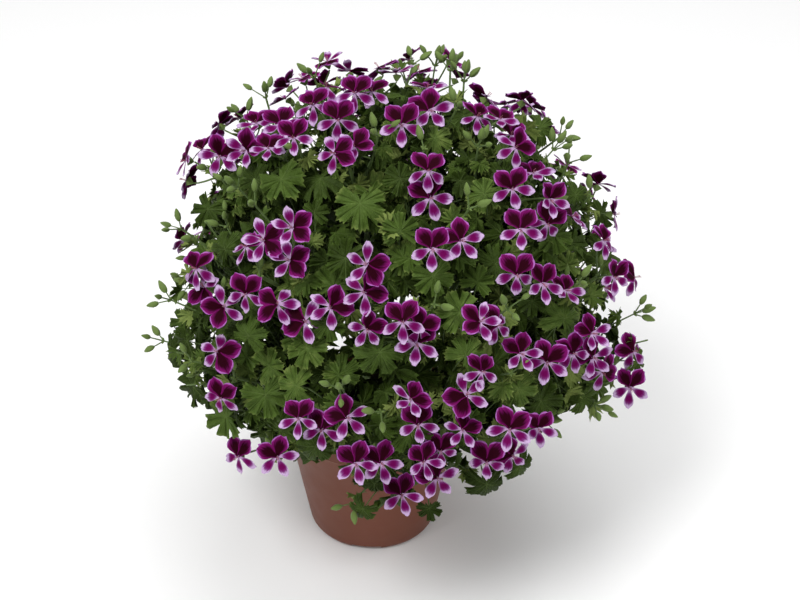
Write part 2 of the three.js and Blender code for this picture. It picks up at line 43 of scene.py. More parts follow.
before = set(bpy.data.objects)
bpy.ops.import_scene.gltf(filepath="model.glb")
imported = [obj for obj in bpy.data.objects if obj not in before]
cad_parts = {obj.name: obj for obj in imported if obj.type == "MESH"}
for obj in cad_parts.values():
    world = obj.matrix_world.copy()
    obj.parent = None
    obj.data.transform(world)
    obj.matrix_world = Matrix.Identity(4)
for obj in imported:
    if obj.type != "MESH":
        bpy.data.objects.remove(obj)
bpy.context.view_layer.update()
MM = 0.001

# Places of the plant, in millimetres and degrees, as in the solids
DOME_CENTRE = Vector((15, 0, 198))
DOME_RADIUS = 164
DOME_ABOVE = 177
DOME_BELOW = 105
SOIL_TOP = 95
HOLE_DEPTH = 12
CLEARANCE = 0.35
SPINE_REACH = 0.66
FOUNTAIN_CENTRE = Vector((8, 0, 118))
LEAF_PLACES = 178
LEAF_LOWEST_RISE = -42
LEAF_DEPTH = 12
LEAF_HALF_WIDTH = 13.5
LEAF_CLEAR_OF_HEAD = 19
BUDS_CLEAR_OF_HEAD = 44
LEAST_BEND = 0.4
BUD_LENGTH = 11
BUD_NECK = 6
PETAL_REACH = 16
FLOWER_LEVEL = 13
HEAD_HEIGHT = 19
STRAY = 0.15
HUB_HEIGHT = 5
HUB_RADIUS = 3.8
PETAL_TURNS = [-112, -36, 36, 112, 180]
FLOWER_STEPS = [0, 4, 8, -4, 12]
FLOWER_APART = 10
FLOWER_PASSES = 3
NEIGHBOUR_REACH = 100
FAR_SPREAD = 16
FAR_SPREAD_CHANGE = 9
FAR_TURN_CHANGE = 0.4
FAR_ROLL_CHANGE = 60
UP = Vector((0, 0, 1))
ODD_SIDE = Vector((0.3, 0.2, 1))
GOLDEN_TURN = 137.508

# Stems, as in the solids
SPINE_FOOT_X = 4
SPINE_SPREAD = 10
SPINE_LEVEL_SPREAD = 30
SPINE_LIFT = 48
BRANCH_STRAIGHT = 34
BRANCH_BEND = 0.45
LOW_RISE = 30
LOW_LIFT = 0.55
HIGH_LIFT = 0.25

# The pot and its mix, in millimetres
RIM_HEIGHT = 13
RIM_STEP = 1.8
WALL_FOOT = 4.5
FLOOR_LEVEL = 4.8
DRAIN_COUNT = 6
DRAIN_RADIUS = 3.5
DRAIN_CIRCLE = 26
NOTCH_COUNT = 4
NOTCH_TURN = -6
NOTCH_WIDTH = 24
NOTCH_HEIGHT = 4.2
NOTCH_MIDDLE = 62
NOTCH_REACH = 40
NOTCH_ROUNDING = 1.4
SOIL_FOOT = (48.6, 5.2)
SOIL_RADIUS = 64.2
SOIL_SPREAD = 64
SOIL_MOUND = 3
SOIL_LUMPS = 1.6

# The underside of the pot from its axis outwards, as radius and height: a flat middle, a recess,
# the standing ring and the rounded foot edge
POT_FOOT = [
    (0.6, 0), (11.6, 0), (12, 0.4), (13.4, 2.6), (14, 3), (37.5, 3), (38.2, 2.6), (39.2, 0.4),
    (39.8, 0), (44.6, 0), (46.6, 0.2), (48.4, 0.9), (49.8, 2.1), (50.6, 3.7), (51.1, 5.6),
]

# Camera of the photograph: it looks towards +Y and down, at a point above the origin
VIEW_RISE = math.radians(33.9)
VIEW_DISTANCE = 1300
VIEW_AIM_HEIGHT = 200
VIEW_CENTRE_PIXEL = (372.7, 307)
VIEW_LENS_PIXELS = 1718
PICTURE_PIXELS = (800, 600)
CAMERA_LENS = 77.3
SENSOR_WIDTH = 36
VIEW_UP = Vector((0, math.sin(VIEW_RISE), math.cos(VIEW_RISE)))
VIEW_AHEAD = Vector((0, math.cos(VIEW_RISE), -math.sin(VIEW_RISE)))
EYE = VIEW_AIM_HEIGHT * UP - VIEW_DISTANCE * VIEW_AHEAD

# Each shoot's heading on the dome: turn from the front, towards +X, and rise.
SHOOTS = [
    (-38, 4), (-10, 6), (20, 6), (55, 8), (97, 4), (143, 6), (-168, 4), (-118, 4),
    (-80, 46), (-15, 47), (58, 47), (160, 48), (-60, 80),
]

# Flower heads of the near side, each a list of flowers: the pixel that the throat is at in the
# photograph, how far the flower is rolled over, and how far it turns towards the camera.
NEAR_HEADS = [
    [(186, 180, 60, -0.2), (186, 160, 30, 0), (202, 149, 20, 0.1), (220, 155, -20, 0.5)],
    [(220, 124, 10, 0), (240, 118, 0, -0.1), (257, 123, 0, 0.1)],
    [(281, 124, 20, 0.5), (294, 137, 0, 0), (269, 148, 0, 0.1), (246, 150, -50, 0.4)],
    [(313, 104, 10, 0.3), (338, 119, 0, 0.7), (327, 87, 0, 0.1)],
    [
        (355, 92, 0, 0.3), (350, 71, 10, -0.3), (372, 91, -10, 0.1), (379, 67, 0, -0.2),
        (396, 73, -20, -0.1),
    ],
    [(335, 153, -80, 0.2), (355, 146, -70, 0)],
    [(402, 124, 0, 0.7), (430, 110, 30, 0.6), (427, 88, 15, 0.1)],
    [(486, 97, -30, -0.5), (477, 116, 0, -0.3), (500, 119, -20, -0.4), (522, 100, 0, -0.5)],
    [(516, 147, -60, 0.2), (511, 135, -30, 0)],
    [(428, 170, 0, 0.2), (430, 197, 25, 0.7)],
    [(533, 173, -10, 0.3), (550, 199, 0, 0.2), (512, 188, 10, 0.3)],
    [(521, 229, 0, 0.6), (548, 223, -20, 0.3), (572, 216, 20, 0.1)],
    [(598, 184, 0, -0.6), (614, 214, -90, -0.3)],
    [(265, 240, -90, 0.5), (293, 228, -95, 0.3), (290, 260, -105, 0.6)],
    [(196, 268, 0, 0.3), (203, 287, 175, 0.3), (223, 307, 125, 0.4)],
    [(246, 246, -20, -0.3), (246, 293, -10, 0.4)],
    [(277, 304, 95, 0.5), (304, 321, 85, 0.6), (331, 307, -60, 0.4)],
    [(218, 352, -115, 0.6), (221, 397, -25, 0.3)],
    [(238, 456, -10, 0.4), (277, 456, 25, 0.5)],
    [(299, 418, 0, 0.3), (322, 429, 0, 0.3), (347, 417, 45, 0.5)],
    [(367, 265, -115, 0.6), (365, 292, -60, 0.4), (367, 328, -40, 0)],
    [(403, 321, 0, 0.3), (420, 328, -30, 0.2), (417, 343, -10, 0.7)],
    [(432, 248, 0, 0.3), (461, 240, 35, 0.4)],
    [(517, 274, 0, 0.6), (543, 283, 0, 0.2), (566, 290, 0, 0)],
    [(634, 277, 45, 0.3), (614, 276, 0, 0), (604, 240, 0, -0.2)],
    [(479, 322, 90, 0.1), (497, 325, 60, 0.3)],
    [(547, 361, -15, 0.7), (521, 353, 20, 0.1)],
    [(592, 333, 40, 0.1), (573, 353, 20, 0.2), (593, 357, 50, 0.3), (603, 372, -60, 0.3)],
    [(633, 351, 45, 0.2), (630, 387, 0, 0.5)],
    [(466, 395, 130, 0.6), (482, 371, 0, 0)],
    [(411, 400, -55, 0.2), (418, 424, 10, 0.2)],
    [(356, 463, 15, 0.4), (381, 462, 15, 0.4)],
    [(402, 494, 10, 0.5), (437, 477, 40, 0.6)],
    [(424, 461, 20, 0.1), (441, 450, 0, 0.1), (463, 430, -50, -0.2)],
    [(487, 461, -5, 0.5), (510, 428, -15, 0.5), (538, 428, 0, 0.2), (512, 455, 60, 0.2)],
]

# Flower heads of the far side: turn, rise, number of flowers, and how far they are rolled over.
FAR_HEADS = [
    (-125, 2, 4, 20), (134, 36, 4, 0), (167, 45, 5, 20), (-148, 44, 5, 0), (-166, 28, 4, 0),
    (157, 24, 5, -20), (128, 14, 4, 10), (-141, 18, 4, 0), (178, 3, 5, 20), (116, -8, 4, 0),
]

# How many times a pixel beside the dome is tried on a dome that is larger by one step more
OUTLINE_STEPS = 8
OUTLINE_STEP = 2

# The leaves behind the outer ones: how many places, how deep, the lowest rise, and the leaf size
INNER_LAYERS = [
    (260, 5, -40, 9.5),
    (300, 17, -44, 11.5),
    (280, 31, -44, 12.5),
    (220, 48, -44, 13.0),
    (120, 68, -40, 13.5),
]
INNER_LAYER_TURN = 71
INNER_SWELL = 8
INNER_SWELL_FINENESS = 2.4
INNER_DEPTH_CHANGE = 9
INNER_CLEAR_OF_HEAD = 16
YOUNG_PER_HEAD = 5

# Gaps between the outer leaves: how many layers have them, how fine they are, and the level of the
# noise above which a leaf is left out
GAP_LAYERS = 3
GAP_FINENESS = 8.0
GAP_LEVEL = 0.15

# Where the numbers of the leaves start that are in the layers, round the tops of the branches, on
# the long-stalked bunches of buds, and at their pixel of the photograph
LAYER_INDEX = 1000
YOUNG_INDEX = 7000
SPRAY_INDEX = 8000
SEEN_LEAF_INDEX = 9000

# Bunches of buds that stand out on the near side: the pixel in the photograph, and their buds
SEEN_SPRAY_LEVEL = 9
SEEN_SPRAYS = [
    (266, 98, 3), (435, 66, 4), (464, 82, 4), (456, 110, 2), (378, 136, 3), (424, 149, 1),
    (478, 147, 4), (553, 150, 4), (568, 163, 3), (469, 209, 2), (590, 196, 1), (238, 188, 4),
    (255, 205, 2), (197, 238, 1), (171, 300, 3), (164, 341, 3), (192, 361, 2), (434, 305, 2),
    (507, 309, 3), (577, 284, 2), (634, 314, 4), (594, 404, 4), (340, 388, 4), (381, 412, 2),
    (353, 503, 2), (511, 373, 1), (300, 148, 2), (212, 168, 2), (545, 205, 1), (648, 340, 0),
    (520, 125, 0), (186, 385, 0), (176, 352, 0), (206, 222, 0),
]

# Leaves that show clearly in the photograph: the pixel of their middle, and their half width
SEEN_LEAF_LEVEL = 2
SEEN_LEAVES = [
    (360, 212, 15), (375, 359, 15), (487, 490, 13), (221, 418, 14), (190, 389, 13), (168, 352, 12),
    (183, 340, 10), (548, 400, 13), (582, 402, 12), (405, 437, 13), (522, 470, 11), (430, 512, 8),
    (361, 513, 9), (608, 262, 14), (452, 312, 13), (223, 244, 11), (205, 214, 11), (313, 452, 12),
    (268, 402, 14), (250, 182, 12), (285, 185, 14), (396, 175, 10), (435, 283, 12), (600, 388, 12),
    (560, 236, 12), (480, 190, 11), (305, 355, 12), (330, 330, 10), (470, 350, 12), (520, 395, 12),
    (250, 330, 11), (505, 172, 11), (340, 255, 12), (565, 312, 13), (640, 362, 9), (180, 322, 9),
    (545, 130, 11), (575, 190, 10), (400, 225, 11), (290, 385, 12), (440, 140, 10), (605, 215, 10),
]

# Bunches of buds of the far side: turn, rise, how far out of the dome, and their buds
FAR_SPRAYS = [
    (144, 66, 10, 4), (167, 68, 10, 2), (-150, 30, 10, 3), (175, 46, 8, 3), (140, 20, 12, 3),
    (-170, -5, 14, 3), (115, -12, 12, 0), (-125, -10, 14, 3), (-105, 14, 8, 3), (-112, 48, 10, 3),
    (150, -18, 10, 0), (-160, -20, 10, 0), (112, 40, 10, 3), (-135, 62, 10, 3), (165, 10, 8, 2),
]

# The tone of what has no tone of its own, and of bracts and small buds
PLAIN_TONE = 0.5
BRACT_TONE = 0.4
KNOB_BRACT_TONE = 0.45
SMALL_BUD_TONE = 0.6

# Leaves: the turn from lobe to lobe, the lift of every other tooth, and the thickness
LOBE_TURN = 60
EDGE_LIFT = 0.05
BLADE_THICKNESS = 0.35

# Each kind of leaf: points round its edge, how deep it is cut, its teeth, the rings of faces inside
# the edge, how pale it is, and its forms: how the edge hangs and waves, and how the blade folds
LEAF_KINDS = {
    "outer": (
        72, 0.52, 0.06, 2, 0.42,
        [(-0.22, 0.1, 0.03), (0.14, 0.15, 0.045), (-0.4, 0.12, 0.03), (-0.06, 0.2, 0.04)],
    ),
    "inner": (48, 0.5, 0.055, 0, 0.43, [(-0.26, 0.15, 0.07), (0.12, 0.2, 0.08), (-0.45, 0.15, 0.06)]),
    "young": (36, 0.62, 0.11, 0, 1.0, [(0.4, 0.16, 0.12), (-0.2, 0.22, 0.12), (0.65, 0.14, 0.14)]),
}

# How the tone changes from leaf to leaf, the painted shade low on the plant and the painted light
# high on it, and from which number on the inner leaves, deep inside, get a painted shade
TONE_CHANGE = 0.75
HEIGHT_PAINTED_SHADE = 0.6
DARKEST_PAINTED_SHADE = -0.3
PALEST_PAINTED_LIGHT = 0.12
PAINTED_SHADE_FROM_INDEX = 3000
DEEP_PAINTED_SHADE = 0.1

# Petals: length and width, where they are widest, the width of claw and tip as a share of the
# widest, how far the sides stand up, and how far they ruffle
UPPER_PETAL = {
    "length": 16.2, "width": 13.2, "fullest": 0.62, "claw": 0.2, "tip": 0.55, "cup": 0.9, "ruffle": 1.5,
}
LOWER_PETAL = {
    "length": 16.4, "width": 7.5, "fullest": 0.72, "claw": 0.2, "tip": 0.6, "cup": 0.7, "ruffle": 0.8,
}
LOWER_CURL = 1.2
PETAL_CELLS = 6
PETAL_CROWDING = 1.4
PETAL_THICKNESS = 0.3

# How each flower form opens: tilts of its lower and upper petals towards its face, and their curl
FLOWER_FORMS = [
    (4, 0, -1.2), (-16, 18, -2.2), (34, 30, -2.6), (-24, -16, 1.0), (18, -8, -0.4), (-30, 8, -3.0),
    (12, 24, -3.4),
]

# The petals of a flower: their turns from its top, their twists, and how turns and tilts vary
FORM_TURNS = [-113, -37, 37, 113, 180]
FORM_TWISTS = [12, -4, 12, 12, 12]
FORM_TURN_CHANGE = 9
FORM_TILT_CHANGE = 12

# Stamens, and the turn from one to the next in radians
STAMENS = 5
STAMEN_TURN = 1.26

# The calyx: its tips, the hollows between them and its foot, each as radius and height
SEPALS = 5
SEPAL_TIP = (4.6, -2.6)
SEPAL_HOLLOW = (1.5, -1.2)
CALYX_FOOT = (0.8, -7)

# Flowers on their heads: how much they turn to the camera, how much they stray, and their size
FULLY_OPEN = 0.6
TURN_TO_CAMERA = 0.8
FACING_CHANGE = 0.4
FACING_STEADIER = 0.25
FLOWER_SIZE = 0.83
OPEN_GROWTH = 0.13
SIZE_CHANGE = 0.06
FLOWER_HEEL = 6.5
FLOWER_STALK_BEND = 1.5
KNOB_BRACTS = 6
KNOB_BRACT_LENGTH = 4.0
FEW_FLOWERS = 4
SMALL_BUD_REACH = 7
SMALL_BUD_SIZE = 0.8

# Buds: width, ridges and taper of a bud of length 1, then the stalks and bracts of a bunch
BUD_WIDTH = 0.5
BUD_RIDGES = 5
BUD_RIDGE = 0.1
BUD_TAPER = 0.85
BUD_TAPER_START = 0.4
BUD_LENGTH_CHANGE = 0.12
BUD_NECK_CHANGE = 3
BRACTS = 4
BRACT_LENGTH = 3.2

# Radii of the finer stalks at their foot and at their end
BUNCH_STALK = (0.95, 0.75)
BUD_STALK = (0.6, 0.5)
FLOWER_STALK = (0.75, 0.6)
SMALL_BUD_STALK = (0.55, 0.5)

# The studio, in metres and watts: place, width and power of each light
LIGHTS = {
    "key": ((-0.9, -1.2, 2.2), 1.0, 40),
    "fill": ((1.6, -1.4, 1.4), 1.6, 10),
    "top": ((0.3, 0.5, 2.5), 2.0, 26),
}
LIGHTS_AIM = (0, 0, 0.2)
BACKGROUND_STRENGTH = 0.45
FLOOR_SIZE = 8
FLOOR_DROP = 0.0002
FLOOR_COLOUR = (0.96, 0.96, 0.96)


# Placing rules


def draw(item, question):
    """A number from 0 to 1 that is always the same for the same item and question."""
    x = math.sin(item * 12.9898 + question * 78.233) * 43758.5453
    return x - math.floor(x)


def draw_between(low, high, item, question):
    return low + (high - low) * draw(item, question)


def draw_direction(item, question):
    """A vector with each of its parts from -1 to 1."""
    return Vector([2 * draw(item, question + k) - 1 for k in range(3)])


def turned(vector, axis, degrees):
    return Matrix.Rotation(math.radians(degrees), 3, axis) @ vector


def across(vector, normal):
    """The unit vector square to the normal that is nearest to the given one."""
    return (vector - vector.dot(normal) * normal).normalized()


def dome_point(turn, rise, out):
    """A point at a turn from the front and a rise, outside the dome by `out`."""
    t, r = math.radians(turn), math.radians(rise)
    height = DOME_ABOVE if rise > 0 else DOME_BELOW
    level = (DOME_RADIUS + out) * math.cos(r)
    place = Vector((level * math.sin(t), -level * math.cos(t), (height + out) * math.sin(r)))
    return DOME_CENTRE + place


def dome_normal(turn, rise):
    """The way the dome faces at a turn and a rise."""
    t, r = math.radians(turn), math.radians(rise)
    height = DOME_ABOVE if rise > 0 else DOME_BELOW
    level = math.cos(r) / DOME_RADIUS
    return Vector((level * math.sin(t), -level * math.cos(t), math.sin(r) / height)).normalized()


def bezier(controls, count):
    """Points at even distances along a Bezier curve."""
    degree = len(controls) - 1
    fine = []
    for step in range(81):
        t = step / 80
        weights = [math.comb(degree, k) * t**k * (1 - t) ** (degree - k) for k in range(degree + 1)]
        fine.append(sum((w * p for w, p in zip(weights, controls)), Vector()))
    lengths = [0.0]
    for a, b in zip(fine, fine[1:]):
        lengths.append(lengths[-1] + (b - a).length)
    wanted = np.linspace(0, lengths[-1], count)
    axes = [np.interp(wanted, lengths, [p[k] for p in fine]) for k in range(3)]
    return [Vector(p) for p in zip(*axes)]


def along(points, share):
    """The point at a share of the way along a line of points."""
    place = share * (len(points) - 1)
    k = min(int(place), len(points) - 2)
    return points[k].lerp(points[k + 1], place - k)


def spine_of(turn, rise):
    """The way a shoot grows: up out of the mix, then out towards its heading."""
    target = FOUNTAIN_CENTRE.lerp(dome_point(turn, rise, 0), SPINE_REACH)
    spread = SPINE_SPREAD + SPINE_LEVEL_SPREAD * math.cos(math.radians(rise))
    t = math.radians(turn)
    foot = SOIL_TOP - HOLE_DEPTH + 2 * CLEARANCE
    root = Vector((SPINE_FOOT_X + spread * math.sin(t), -spread * math.cos(t), foot))
    above = root + SPINE_LIFT * UP
    return bezier([root, above, above.lerp(target, 0.5), target], 17)


def head_axis(turn, rise):
    """Flower heads look outwards and up, with more lift low on the dome."""
    lift = LOW_LIFT if rise < LOW_RISE else HIGH_LIFT
    return (dome_normal(turn, rise) + lift * UP).normalized()


def pixel_place(x, y, out):
    """The point that a pixel shows of the dome, or of a dome outside it by `out`."""
    ray = VIEW_LENS_PIXELS * VIEW_AHEAD + Vector((x - VIEW_CENTRE_PIXEL[0], 0, 0))
    ray = (ray + (VIEW_CENTRE_PIXEL[1] - y) * VIEW_UP).normalized()
    for height in (DOME_ABOVE, DOME_BELOW):
        level = 1 / (DOME_RADIUS + out)
        stretch = Vector((level, level, 1 / (height + out)))
        start = (EYE - DOME_CENTRE) * stretch
        way = ray * stretch
        half = start.dot(way) / way.length_squared
        rest = (start.length_squared - 1) / way.length_squared
        place = EYE + (-half - math.sqrt(max(0, half * half - rest))) * ray
        if place.z > DOME_CENTRE.z:
            break
    return place


def pixel_of(place):
    """The pixel that shows a point."""
    way = place - EYE
    scale = VIEW_LENS_PIXELS / way.dot(VIEW_AHEAD)
    return Vector(VIEW_CENTRE_PIXEL) + scale * Vector((way.x, -way.dot(VIEW_UP)))


def reaching_place(x, y, out):
    """The point that a pixel shows, further out where the pixel lies beside the dome."""
    for step in range(OUTLINE_STEPS):
        place = pixel_place(x, y, out + OUTLINE_STEP * step)
        if (pixel_of(place) - Vector((x, y))).length < 1:
            break
    return place


class Head:
    """A flower head: its axis, the middle of its flowers and the foot of its knob."""

    def __init__(self, index, turn, rise, middle, flowers):
        self.index, self.middle, self.flowers = index, middle, flowers
        self.axis = head_axis(turn, rise)
        self.base = middle - HEAD_HEIGHT * self.axis
        self.steps = [0] * len(flowers)

    def flower(self, k, step=None):
        """One flower: where its stalk starts, its throat, and the ways it faces and stands."""
        place, outwards, upright, roll, opened = self.flowers[k]
        throat = place + (self.steps[k] if step is None else step) * outwards
        radial = across(throat - self.base, self.axis)
        root = self.base + 0.3 * HUB_HEIGHT * self.axis + 0.2 * HUB_RADIUS * radial
        way = (throat - root).normalized()
        facing = 0.5 * (way + self.axis) + opened * outwards
        facing = (facing + STRAY * draw_direction(self.index * 10 + k, 5)).normalized()
        return root, throat, facing, turned(across(upright, facing), facing, roll)

    def petal_ends(self, k, step=None):
        """The throat of a flower and the middle of each of its petals."""
        _, throat, facing, top = self.flower(k, step)
        ends = [throat + 0.8 * PETAL_REACH * turned(top, facing, angle) for angle in PETAL_TURNS]
        return np.array([tuple(p) for p in [throat, *ends]])


def near_head(index, pixels):
    """A head whose flowers have their throats at pixels of the photograph."""
    flowers = []
    for x, y, roll, opened in pixels:
        place = pixel_place(x, y, FLOWER_LEVEL)
        flowers.append((place, (EYE - place).normalized(), VIEW_UP, roll, opened))
    middle = sum((flower[0] for flower in flowers), Vector()) / len(flowers)
    x, y, z = middle - DOME_CENTRE
    height = DOME_ABOVE if z > 0 else DOME_BELOW
    turn = math.degrees(math.atan2(x, -y))
    rise = math.degrees(math.atan2(z / height, math.hypot(x, y) / DOME_RADIUS))
    return Head(index, turn, rise, middle, flowers)


def far_head(index, turn, rise, count, roll):
    """A head of the far side, with its flowers in a ring."""
    middle = dome_point(turn, rise, FLOWER_LEVEL)
    outwards = head_axis(turn, rise)
    side = across(ODD_SIDE, outwards)
    flowers = []
    for k in range(count):
        item = index * 10 + k
        radial = turned(side, outwards, 360 * (k + FAR_TURN_CHANGE * draw(item, 1)) / count)
        place = middle + (FAR_SPREAD + FAR_SPREAD_CHANGE * draw(item, 3)) * radial
        flower_roll = roll + FAR_ROLL_CHANGE * (draw(item, 2) - 0.5)
        flowers.append((place, outwards, UP, flower_roll, 0))
    return Head(index, turn, rise, middle, flowers)


def part_flowers(heads):
    """Each flower is moved in or out until its petals are clear of the others', as in the solids."""
    ends = [[head.petal_ends(k, 0) for k in range(len(head.flowers))] for head in heads]
    for _ in range(FLOWER_PASSES):
        for h, head in enumerate(heads):
            near = [
                (n, i)
                for n, other in enumerate(heads)
                if (other.middle - head.middle).length < NEIGHBOUR_REACH
                for i in range(len(other.flowers))
            ]
            for k in range(len(head.flowers)):
                others = np.concatenate([ends[n][i] for n, i in near if (n, i) != (h, k)])
                best = -1
                for step in FLOWER_STEPS:
                    own = head.petal_ends(k, step)
                    gap = np.linalg.norm(own[:, None] - others[None], axis=2).min()
                    clear = min(gap, FLOWER_APART)
                    if clear > best:
                        best, head.steps[k], ends[h][k] = clear, step, own


def branch_of(spine, head):
    """The stem from a shoot's spine to one of its flower heads."""
    leave = along(spine, draw_between(0.62, 0.96, head.index, 3))
    end = head.base - CLEARANCE * head.axis
    before = end - BRANCH_STRAIGHT * head.axis
    return bezier([leave, leave.lerp(before, BRANCH_BEND), before, end], 13)


def nearest(items, point):
    return min(items, key=lambda item: (item.middle - point).length)


class Shoot:
    """A leafy shoot: its spine, and what it carries."""

    def __init__(self, number, turn, rise):
        self.number = number
        self.middle = dome_point(turn, rise, 0)
        self.spine = spine_of(turn, rise)
        self.heads, self.leaves, self.buds = [], [], []


class Leaf:
    """A leaf: its kind, the frame of its blade, and the root of its stalk on a stem."""

    def __init__(self, index, kind, root, middle, normal, size, droop=12):
        down = (root - middle).normalized()
        excess = max(0, normal.dot(down) + LEAST_BEND)
        normal = (normal - excess / (1 - LEAST_BEND**2) * down).normalized()
        self.index, self.kind, self.root, self.size = index, kind, root, size
        self.normal = normal
        self.tip = across(middle - root - droop * UP, normal)
        self.joint = middle - 0.35 * size * self.tip


class BudBunch:
    """Buds on short stalks that part at the top of one long stalk."""

    def __init__(self, root, middle, axis, ahead, buds):
        self.root, self.middle, self.axis, self.ahead, self.buds = root, middle, axis, ahead, buds


def plan_plant():
    """Every shoot with its flower heads, leaves and buds."""
    shoots = [Shoot(k + 1, *heading) for k, heading in enumerate(SHOOTS)]
    heads = [near_head(k, pixels) for k, pixels in enumerate(NEAR_HEADS)]
    heads += [far_head(len(heads) + k, *values) for k, values in enumerate(FAR_HEADS)]
    part_flowers(heads)
    for head in heads:
        head.shoot = nearest(shoots, head.middle)
        head.branch = branch_of(head.shoot.spine, head)
        head.shoot.heads.append(head)
    for index in range(LEAF_PLACES):
        plan_outer_place(index, heads)
    for layer, values in enumerate(INNER_LAYERS):
        plan_inner_layer(layer, heads, *values)
    places = [(reaching_place(x, y, SEEN_SPRAY_LEVEL), buds) for x, y, buds in SEEN_SPRAYS]
    places += [(dome_point(turn, rise, out), buds) for turn, rise, out, buds in FAR_SPRAYS]
    for number, (middle, buds) in enumerate(places):
        plan_spray(number, heads, middle, buds)
    for number, values in enumerate(SEEN_LEAVES):
        plan_seen_leaf(number, heads, *values)
    for head in heads:
        plan_young_leaves(head)
    return shoots, heads


def lattice(index, count, lowest_rise, shift=0.0):
    """Turn and rise of one of many places that are spread evenly over the dome."""
    lowest = math.sin(math.radians(lowest_rise))
    rise = math.degrees(math.asin(lowest + (1 - lowest) * (index + 0.5) / count))
    return (index * GOLDEN_TURN + shift) % 360, rise


def plan_outer_place(index, heads):
    """A leaf, a bunch of buds, or nothing under a flower head, as in the solids."""
    turn, rise = lattice(index, LEAF_PLACES, LEAF_LOWEST_RISE)
    middle = dome_point(turn, rise, -LEAF_DEPTH + draw_between(-3, 3, index, 11))
    head = nearest(heads, middle)
    offset = middle - head.base
    from_axis = (offset - offset.dot(head.axis) * head.axis).length
    if from_axis < LEAF_CLEAR_OF_HEAD:
        return
    root = along(head.branch, draw_between(0.53, 0.87, index, 12))
    if from_axis > BUDS_CLEAR_OF_HEAD and index % 2:
        way = (middle - root).normalized()
        axis = (way + 0.9 * head_axis(turn, rise)).normalized()
        ahead = turned(across(ODD_SIDE, axis), axis, 360 * draw(index, 17))
        head.shoot.buds.append(BudBunch(root, middle, axis, ahead, 3))
        return
    normal = dome_normal(turn, rise) + 0.35 * UP + 0.35 * draw_direction(index, 13)
    size = LEAF_HALF_WIDTH * draw_between(0.82, 1.18, index, 16)
    head.shoot.leaves.append(Leaf(index, "outer", root, middle, normal.normalized(), size))


def plan_inner_layer(layer, heads, count, depth, lowest_rise, half_width):
    """The leaves of one layer, apart from gaps and the room under the flower heads."""
    for k in range(count):
        index = LAYER_INDEX * (layer + 1) + k
        turn, rise = lattice(k, count, lowest_rise, INNER_LAYER_TURN * (layer + 1))
        turn += draw_between(-5, 5, index, 21)
        normal = dome_normal(turn, rise)
        if layer < GAP_LAYERS and noise.noise(GAP_FINENESS * normal) > GAP_LEVEL:
            continue
        swell = INNER_SWELL * noise.noise(INNER_SWELL_FINENESS * normal + Vector((layer, 0, 0)))
        stray = INNER_DEPTH_CHANGE * (draw(index, 11) - 0.5)
        middle = dome_point(turn, rise, -depth + stray + swell)
        head = nearest(heads, middle)
        offset = middle - head.base
        height = offset.dot(head.axis)
        if height > -4 and (offset - height * head.axis).length < INNER_CLEAR_OF_HEAD:
            continue
        root = along(head.branch, draw_between(0.35, 0.85, index, 12))
        normal = normal + 0.4 * UP + 0.75 * draw_direction(index, 13)
        size = half_width * draw_between(0.75, 1.2, index, 16)
        kind = "young" if layer == 0 and k % 3 == 0 else "inner"
        head.shoot.leaves.append(Leaf(index, kind, root, middle, normal.normalized(), size))


def outwards_at(place):
    """The way from the middle of the dome to a place."""
    return (place - DOME_CENTRE).normalized()


def plan_spray(number, heads, middle, buds):
    """A long-stalked bunch of buds that stands out from the leaves, with leaves below it."""
    head = nearest(heads, middle)
    root = along(head.branch, draw_between(0.3, 0.7, number, 51))
    way = (middle - root).normalized()
    outwards = outwards_at(middle)
    axis = (way + 0.9 * outwards + 0.2 * UP).normalized()
    ahead = turned(across(ODD_SIDE, axis), axis, 360 * draw(number, 17))
    head.shoot.buds.append(BudBunch(root, middle, axis, ahead, buds))
    for k in range(3):
        index = SPRAY_INDEX + 10 * number + k
        place = root.lerp(middle, 0.5 + 0.14 * k)
        aside = turned(ahead, axis, 137 * k)
        blade = place + (17 - 4 * k) * aside + 5 * axis
        normal = outwards + 0.3 * UP + 0.6 * draw_direction(index, 13)
        size = (12.5 - 2.5 * k) * draw_between(0.85, 1.15, index, 16)
        kind = "young" if k == 2 else "inner"
        head.shoot.leaves.append(Leaf(index, kind, place, blade, normal.normalized(), size))


def plan_seen_leaf(number, heads, x, y, size):
    """A leaf that shows clearly in the photograph, turned towards the camera."""
    middle = reaching_place(x, y, SEEN_LEAF_LEVEL)
    head = nearest(heads, middle)
    root = along(head.branch, draw_between(0.45, 0.75, number, 52))
    index = SEEN_LEAF_INDEX + number
    normal = outwards_at(middle) + 1.1 * (EYE - middle).normalized()
    normal = (normal + 0.35 * draw_direction(index, 13)).normalized()
    head.shoot.leaves.append(Leaf(index, "outer", root, middle, normal, 1.08 * size, 30))


def plan_young_leaves(head):
    """Small cut leaves round the top of each branch."""
    for k in range(YOUNG_PER_HEAD):
        index = YOUNG_INDEX + head.index * 10 + k
        root = along(head.branch, 0.6 + 0.36 * k / YOUNG_PER_HEAD)
        radial = turned(across(ODD_SIDE, head.axis), head.axis, 137.5 * k + 40 * head.index)
        middle = root + draw_between(9, 17, index, 5) * radial + 7 * head.axis
        normal = (head.axis + 0.5 * radial + 0.3 * draw_direction(index, 13)).normalized()
        size = draw_between(6.2, 8.8, index, 16)
        head.shoot.leaves.append(Leaf(index, "young", root, middle, normal, size, 2))


# Blender helpers


def select_none():
    if bpy.context.object and bpy.context.object.mode != "OBJECT":
        bpy.ops.object.mode_set(mode="OBJECT")
    bpy.ops.object.select_all(action="DESELECT")


def activate(obj):
    select_none()
    obj.select_set(True)
    bpy.context.view_layer.objects.active = obj


def link(obj):
    bpy.context.scene.collection.objects.link(obj)
    return obj


def apply_modifier(obj, name, kind, **values):
    modifier = obj.modifiers.new(name, kind)
    for key, value in values.items():
        setattr(modifier, key, value)
    activate(obj)
    bpy.ops.object.modifier_apply(modifier=modifier.name)


